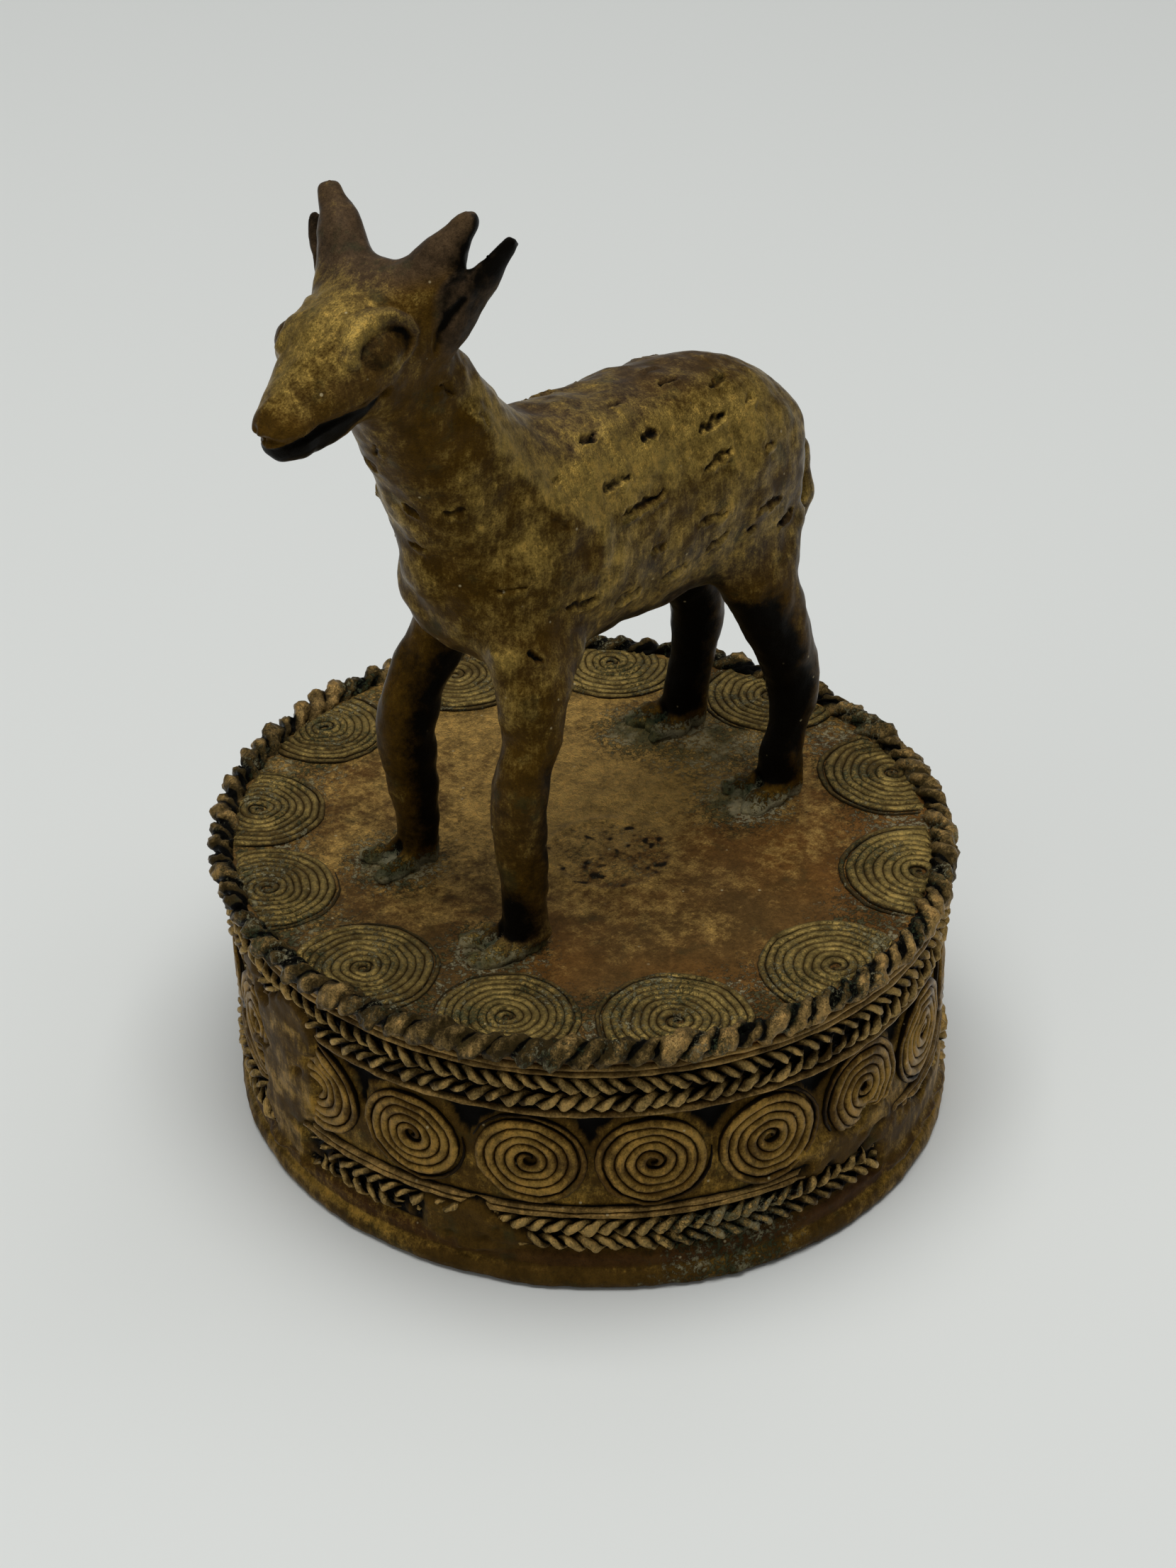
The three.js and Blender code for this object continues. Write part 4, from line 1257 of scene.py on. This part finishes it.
for side in (1, -1):
    at_side = (face[:, 1] * side < -2.2) & (face[:, 0] > -10) & (face[:, 0] < 3.4)
    raised = push(face, face_normals, (-3.5, -5.8 * side, 2.2), (4.8, 4.2, 3.6), 0.25)
    socket = carve(raised, EYEBALL, 1.7, 0.3)
    creased = carve(socket, CREASE, 0.45, 0.18)
    inner = np.clip(moved(socket, raised) / 0.12, 0, 1)
    shade = np.maximum(shade, at_side * (0.37 * inner + 0.3 * moved(creased, socket)))
    ball = push(creased, face_normals, (-3.4, -5.8 * side, 1.6), (3, 4, 1.8), 0.5)
    high = 0.7 if side == 1 else 0.3
    rim = carve(carve(ball, UPPER_LID, 0.8, -1.15 * high), LOWER_LID, 0.5, -0.5 * high)
    lids = np.maximum(lids, at_side * moved(rim, ball) / high)
    if side == -1:
        rim = push(rim, face_normals, (-4.6, 5.8, 1.9), (4.2, 4, 3.4), 1.1)
    face = np.where(at_side[:, None], rim, face)
    face = push(face, face_normals, (-16.6, -1.6 * side, -1.2), (0.8, 0.9, 0.7), -0.35)
    beside_ear = face[:, 1] * side < -5.6
    cut = carve(face, GAP, 0.6, 0.5)
    shade = np.maximum(shade, beside_ear * moved(cut, face) / 1.9)
    face = np.where(beside_ear[:, None], cut, face)
face = push(face, face_normals, (3.2, 0, 6.4), (4, 5, 3), 0.7)
JAW = [(-17.6, 0, -1.9), (-16.7, -2, -2.3), (-14.9, -3.1, -2.6), (-11.1, -4.1, -2.5)]
JAW += [(-7.1, -5.4, -2.3), (-4.6, -5.9, -2.5)]
lip = face.copy()
for side in (1, -1):
    face = groove(face, face_normals, np.array(JAW) * (1, side, 1), 0.8, 0.9)
lower = ramp(lip[:, 2], -2.5, -0.4) * ramp(face[:, 0], -3.2, -3)
face[:, 1] *= 1 - 0.16 * lower
face[:, 0] += 0.8 * lower * ramp(face[:, 0], -12, -3)
jaw_floor = -7.4 + 4.2 * ramp(lip[:, 0], -13, 8)
shade = np.maximum(shade, lower * ramp(lip[:, 2], jaw_floor, 0.6))
back = np.array(head_frame.to_3x3())
set_points(antelope, (face @ back.T + np.array(head_frame.translation) + origin) * MM)

# %% The shoulder's edge and the short strokes of the tool over the coat
coat = points_of(antelope) / MM
normals = normals_of(antelope)
SHOULDER = [
    (-27.9, -6.6, 65.7), (-24, -7.3, 60.5), (-19.8, -8.3, 54.7), (-17.3, -9.5, 51.8),
    (-12.8, -10.3, 48.6), (-13, -10.5, 45.5),
]
for way in (1, -1):
    path = np.array(SHOULDER) * (1, way, 1) + origin
    chest = np.array((-24.5, -8 * way, 49)) + origin
    coat = push(coat, normals, chest, (8, 6, 13), -0.8)
    coat = groove(coat, normals, path, 2.4, -0.6)
edge = np.full(len(coat), 1e3)
for (x0, _, z0), (x1, _, z1) in zip(SHOULDER[:-1], SHOULDER[1:]):
    run = np.array((x1 - x0, z1 - z0))
    spot = (coat - origin)[:, [0, 2]] - (x0, z0)
    away = moved(spot, np.clip(spot @ run / (run @ run), 0, 1)[:, None] * run)
    behind = np.sign(run[0] * spot[:, 1] - run[1] * spot[:, 0])
    edge = np.where(away < np.abs(edge), away * behind, edge)
edge = patchy(coat * MM, edge, (0.9, 2, 71))
crest = np.where(edge > 0, np.exp(-((edge / 4.2) ** 2)), -0.6 * np.exp(-((edge / 3) ** 2)))
crest *= np.clip(edge / 0.3, -1, 1) ** 2
set_points(antelope, coat * MM)
normals = normals_of(antelope)
nicked = np.zeros(len(coat))
tremble = np.stack([unevenness(coat * MM, 0.9, seed) for seed in (61, 62, 63)], axis=1)
ragged = coat + 0.5 * tremble
for start, end in strokes + origin:
    index = int(np.argmin(moved(coat, (start + end) / 2)))
    shift = coat[index] - (start + end) / 2
    stretch = (end - start) * 0.2
    start, end = start + shift - stretch, end + shift + stretch
    above = np.cross(end - start, normals[index])
    above *= 0.6 * np.sign(above[2]) / np.linalg.norm(above)
    deeper = nick(coat, normals, start, end, 0.62, drift.uniform(0.3, 0.6), ragged)
    nicked = np.maximum(nicked, moved(deeper, coat) / 0.5)
    coat = nick(deeper, normals, start - above, end - above, 0.6, -0.2, ragged)
print(len(strokes), "strokes")
for leg, stations in LEGS.items():
    ankle = np.array([*stations[-1][:2], 2.4]) + origin
    turn = math.radians(FOOT_HEADING[leg])
    ahead = np.array([math.cos(turn), math.sin(turn), -0.12])
    cloven = groove(coat, normals, [ankle + ahead * 2.6, ankle + ahead * 7.5], 1.1, 1.2)
    nicked = np.maximum(nicked, 1.6 * moved(cloven, coat))
    coat = cloven
on_foot = ramp((coat - origin)[:, 2], 3, -1.5)
lumps = unevenness(coat * MM, 1.3, 51) * 0.7 * on_foot
set_points(antelope, (coat + normals * lumps[:, None]) * MM)
age(antelope, (0.50, 9, 5), (0.34, 3.4, 2), (0.12, 1.4, 12))
mark_crowns(antelope, 0.75, 16)


# %% Where hands rub it, and where it stays dark
def spot_at(points, centre, reach):
    return np.exp(-(((points - np.array(centre)) / np.array(reach)) ** 2).sum(axis=1))


local = points_of(antelope) / MM - origin
face = to_head(local)
facing = normals_of(antelope)
x, y, z = local.T
face_x, face_y, face_z = face.T
shade, nicked, lids = (np.clip(mask, 0, 1) for mask in (shade, nicked, lids))
# how much more a place is rubbed, with its middle and its reach, in mm; the last spot on the face
# lights the lower half of the near eyeball, a painted highlight
ON_BODY = [
    (0.38, (-41, 0, 80.5), (7, 5, 6)), (0.26, (-48, 0, 75), (6, 4, 4)),
    (0.50, (0, -7, 53), (16, 6, 4.5)), (0.22, (12, -8, 53), (6, 6, 5)),
    (0.14, (-24, -9, 50), (6, 5, 10)), (0.06, (-24, -10.5, 31), (3, 3, 6)),
    (0.16, (-25, -7, 62), (4, 4, 6)), (-0.14, (-26, -7, 42), (8, 8, 9)),
    (-0.14, (-20, -9, 33), (6, 5, 8)), (-0.20, (16, -8, 44), (5, 5, 5)),
    (-0.30, (10, 0, 56), (12, 9, 2.5)),
]
ON_FACE = [
    (-0.26, (-7.5, -6.5, -1.6), (5, 3.5, 2.2)), (-0.26, (1.5, -7, -2.5), (5, 3, 3)),
    (0.30, (-3.4, -6.5, 1), (1.6, 2.5, 0.8)),
]
# a painted reflection: low on the near flank a band is tinted mauve and made lighter, as the pale
# floor would shine in it
painted_belly_sheen = spot_at(local, (2, -10, 36.5), (16, 6, 3.6))
rusty = spot_at(local, (-27, -7, 54), (7, 8, 15))
# painted shade under the jaw and down the front of the neck
throat = spot_at(local, (-34, -3, 66), (5, 7, 6)) + 0.7 * spot_at(local, (-34, -5, 58), (3.5, 5, 7))
saddle = spot_at(local, (-8, -5, 55), (10, 6, 5))
stripe = spot_at(face, (3, -5, 3), (3.2, 3.5, 2.4)) + spot_at(face, (6.5, -6.5, 5.5), (2.5, 2.5, 3))
stripe = np.maximum(stripe, spot_at(face, (2.4, -4.4, 4.9), (1.8, 2.4, 1.8)))
under_eye = spot_at(face, (-7.6, -5, 0.2), (3.6, 3, 1.6))
tip = spot_at(face, (-16.8, -1, -1.6), (3.4, 4, 1.9))
lip = np.exp(-(((face_z + 2) / 1.1) ** 2)) * (face_x < -5)
horns = ramp(face_z, 5, 2.5)
ears = ramp(np.abs(face_y), 7.2, 1) * ramp(np.abs(face_y) - face_z, 2, 1) * (face_z > -5) * (z > 66)
# the rub mark also carries painted shade here: the throat under the jaw, the line of the mouth, and
# the shaded eyes, ear gap and jaw are darker; the coat is also darker towards the bottom
rub = 0.38 + 0.36 * crest - 0.14 * ramp(z, 32, -10) + 0.20 * painted_belly_sheen - 0.12 * rusty - 0.24 * throat
rub -= 0.40 * horns + 0.26 * ears + 0.30 * stripe + 0.30 * under_eye + 0.26 * lip + 0.34 * tip
rub -= 0.10 * ramp(z, 66, 3) * (1 - spot_at(face, (-5, 0, 5), (12, 5.5, 6))) + 0.3 * shade
for places, spots in ((local, ON_BODY), (face, ON_FACE)):
    for amount, centre, reach in spots:
        rub += amount * spot_at(places, centre, reach)
back_line = ramp(z, 55, 2.5) * (x > -22)
plum = 0.1 + 0.8 * painted_belly_sheen + 0.4 * back_line + 0.35 * saddle + 0.5 * ears + 0.45 * horns
# the upper lids take a mauve tint, and below they are also made lighter, together a painted
# highlight on the lids
plum += 0.6 * lids - 0.5 * rusty

# %% How dark the coat is: painted shade where light hardly comes, and darker patches
front_right = (x < 0) & (y > 3)
hind = ramp(x, 5, 8)
# painted shade on the legs under the body, with one side of each leg darker than the other
dark_legs = ramp(z, 31 + 6 * front_right, -9) * ramp(z, 1.5, 1.5)
nearest_leg = np.exp(-(((x + 24) / 6) ** 2) - ((y + 10.5) / 6) ** 2) * ramp(z, 3, 14)
lee = np.clip(np.where(front_right, facing[:, 0], -facing[:, 0]), -0.9, 1)
share = np.clip(2 * nearest_leg, 0, 1)
lee = lee * (1 - share) + share * np.clip(facing[:, 0], -0.3, 1)
# painted shade on the horns and ears, on the sides that face away from the window lamp
outer = np.clip(2 * (0.69 * facing[:, 0] - 0.72 * facing[:, 1]) - 0.5, 0, 1)
# painted shade on faces turned down, on the inside of the hind thighs and along the bottom of the
# belly
underneath = ramp(facing[:, 2], -0.25, -0.5) + ramp(x, 19, -4) * ramp(z, 36, -8) * (x > 6)
underneath += ramp(z, 34.5, -2.5) * np.clip(5.5 - np.abs(x + 1) / 2, 0, 1)
underneath = np.clip(underneath, 0, 1) * (z > 16) * (z < 40)
# the eyes, ear gap, jaw, throat, undersides, legs and the sides turned from the light get painted
# shade, the upper lids a painted highlight; the cuts, ears, horns, face stripe, muzzle tip and the
# place under the eye are simply darker
dim = 0.6 * shade + 0.17 * nicked - 0.10 * lids + 0.26 * ears + 0.16 * horns + 0.12 * stripe
dim += 0.10 * tip + 0.08 * under_eye + 0.10 * throat + 0.30 * underneath
dim += 0.26 * outer * ramp(face_z, 3.5, 2) * (face_y < -2)
dim += dark_legs * (0.32 + 0.03 * hind + 0.16 * front_right - 0.05 * nearest_leg + 0.26 * lee)
crown = rows_of(antelope.data.attributes["crown"].data, "value", 1, np.float32)[:, 0]
# the dimming is taken off the crown mark, so painted shade turns to deep skin as a hollow does
mark(antelope, rub=rub, plum=plum, crust=0.9 * ramp(z, 2.4, -1.6), crown=crown - dim)
ANTELOPE_NODES = "torso neck head left_horn right_horn left_ear right_ear left_eye right_eye tail"
ANTELOPE_NODES += " front_left_leg front_right_leg hind_left_leg hind_right_leg"
finish_piece(antelope, "lid", ANTELOPE_NODES.split(), "antelope")

# %% [markdown]
# ## Bench, light and air
#
# The object stands on a pale sheet. Soft light comes from a wide lamp straight over it, a weak
# window stands in front of the antelope, and the pale room fills the rest a little.

# %% Floor
bpy.ops.object.select_all(action="DESELECT")
bpy.ops.mesh.primitive_plane_add(size=8, location=(0, 0, -0.0001))
sheet = bpy.context.object
sheet.name = "pale_sheet"
paper = bpy.data.materials.new("pale_paper")
paper.use_nodes = True
paper_shader = paper.node_tree.nodes["Principled BSDF"]
paper_shader.inputs["Base Color"].default_value = (0.74, 0.755, 0.73, 1)
paper_shader.inputs["Roughness"].default_value = 0.6
paper_shader.inputs["Specular IOR Level"].default_value = 0.2
sheet.data.materials.append(paper)
sheet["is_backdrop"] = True

# %% Lamps and room
world = bpy.data.worlds.new("pale_room")
bpy.context.scene.world = world
world.use_nodes = True
room = Bench(world.node_tree)
rays = room.node("ShaderNodeLightPath").outputs
seen = room.math("MAXIMUM", rays["Is Camera Ray"], rays["Is Transmission Ray"])
glow = {"Color": (0.95, 0.98, 1, 1), "Strength": 0.20}
plain = room.wire("ShaderNodeBackground", 0, glow)
shown = room.wire("ShaderNodeBackground", 0, {"Color": (0.60, 0.62, 0.60, 1)})
either = room.wire("ShaderNodeMixShader", 0, {0: seen, 1: plain, 2: shown})
room.node("ShaderNodeOutputWorld", {"Surface": either})


def soft_lamp(name, place, target, size, watts):
    bpy.ops.object.light_add(type="AREA", location=place)
    lamp = bpy.context.object
    lamp.name = name
    lamp.data.shape = "SQUARE"
    lamp.data.size = size
    lamp.data.energy = watts
    aim = Vector(target) - Vector(place)
    lamp.rotation_euler = aim.to_track_quat("-Z", "Y").to_euler()


soft_lamp("overhead", (-0.06, -0.05, 1.15), (0, 0, 0.05), 0.95, 11.3)
soft_lamp("window", (-1.15, 0.15, 0.45), (0, 0, 0.04), 0.8, 1.5)

# %% [markdown]
# ## Sizes at the end
#
# The dressed object should keep the frame's size. The last line prints the box of the dressed
# object, in mm.

# %% Settings and sizes
bpy.context.scene.view_settings.view_transform = "Standard"
low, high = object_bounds()
print("dressed", [round(v / MM, 2) for v in (*low, *high)])
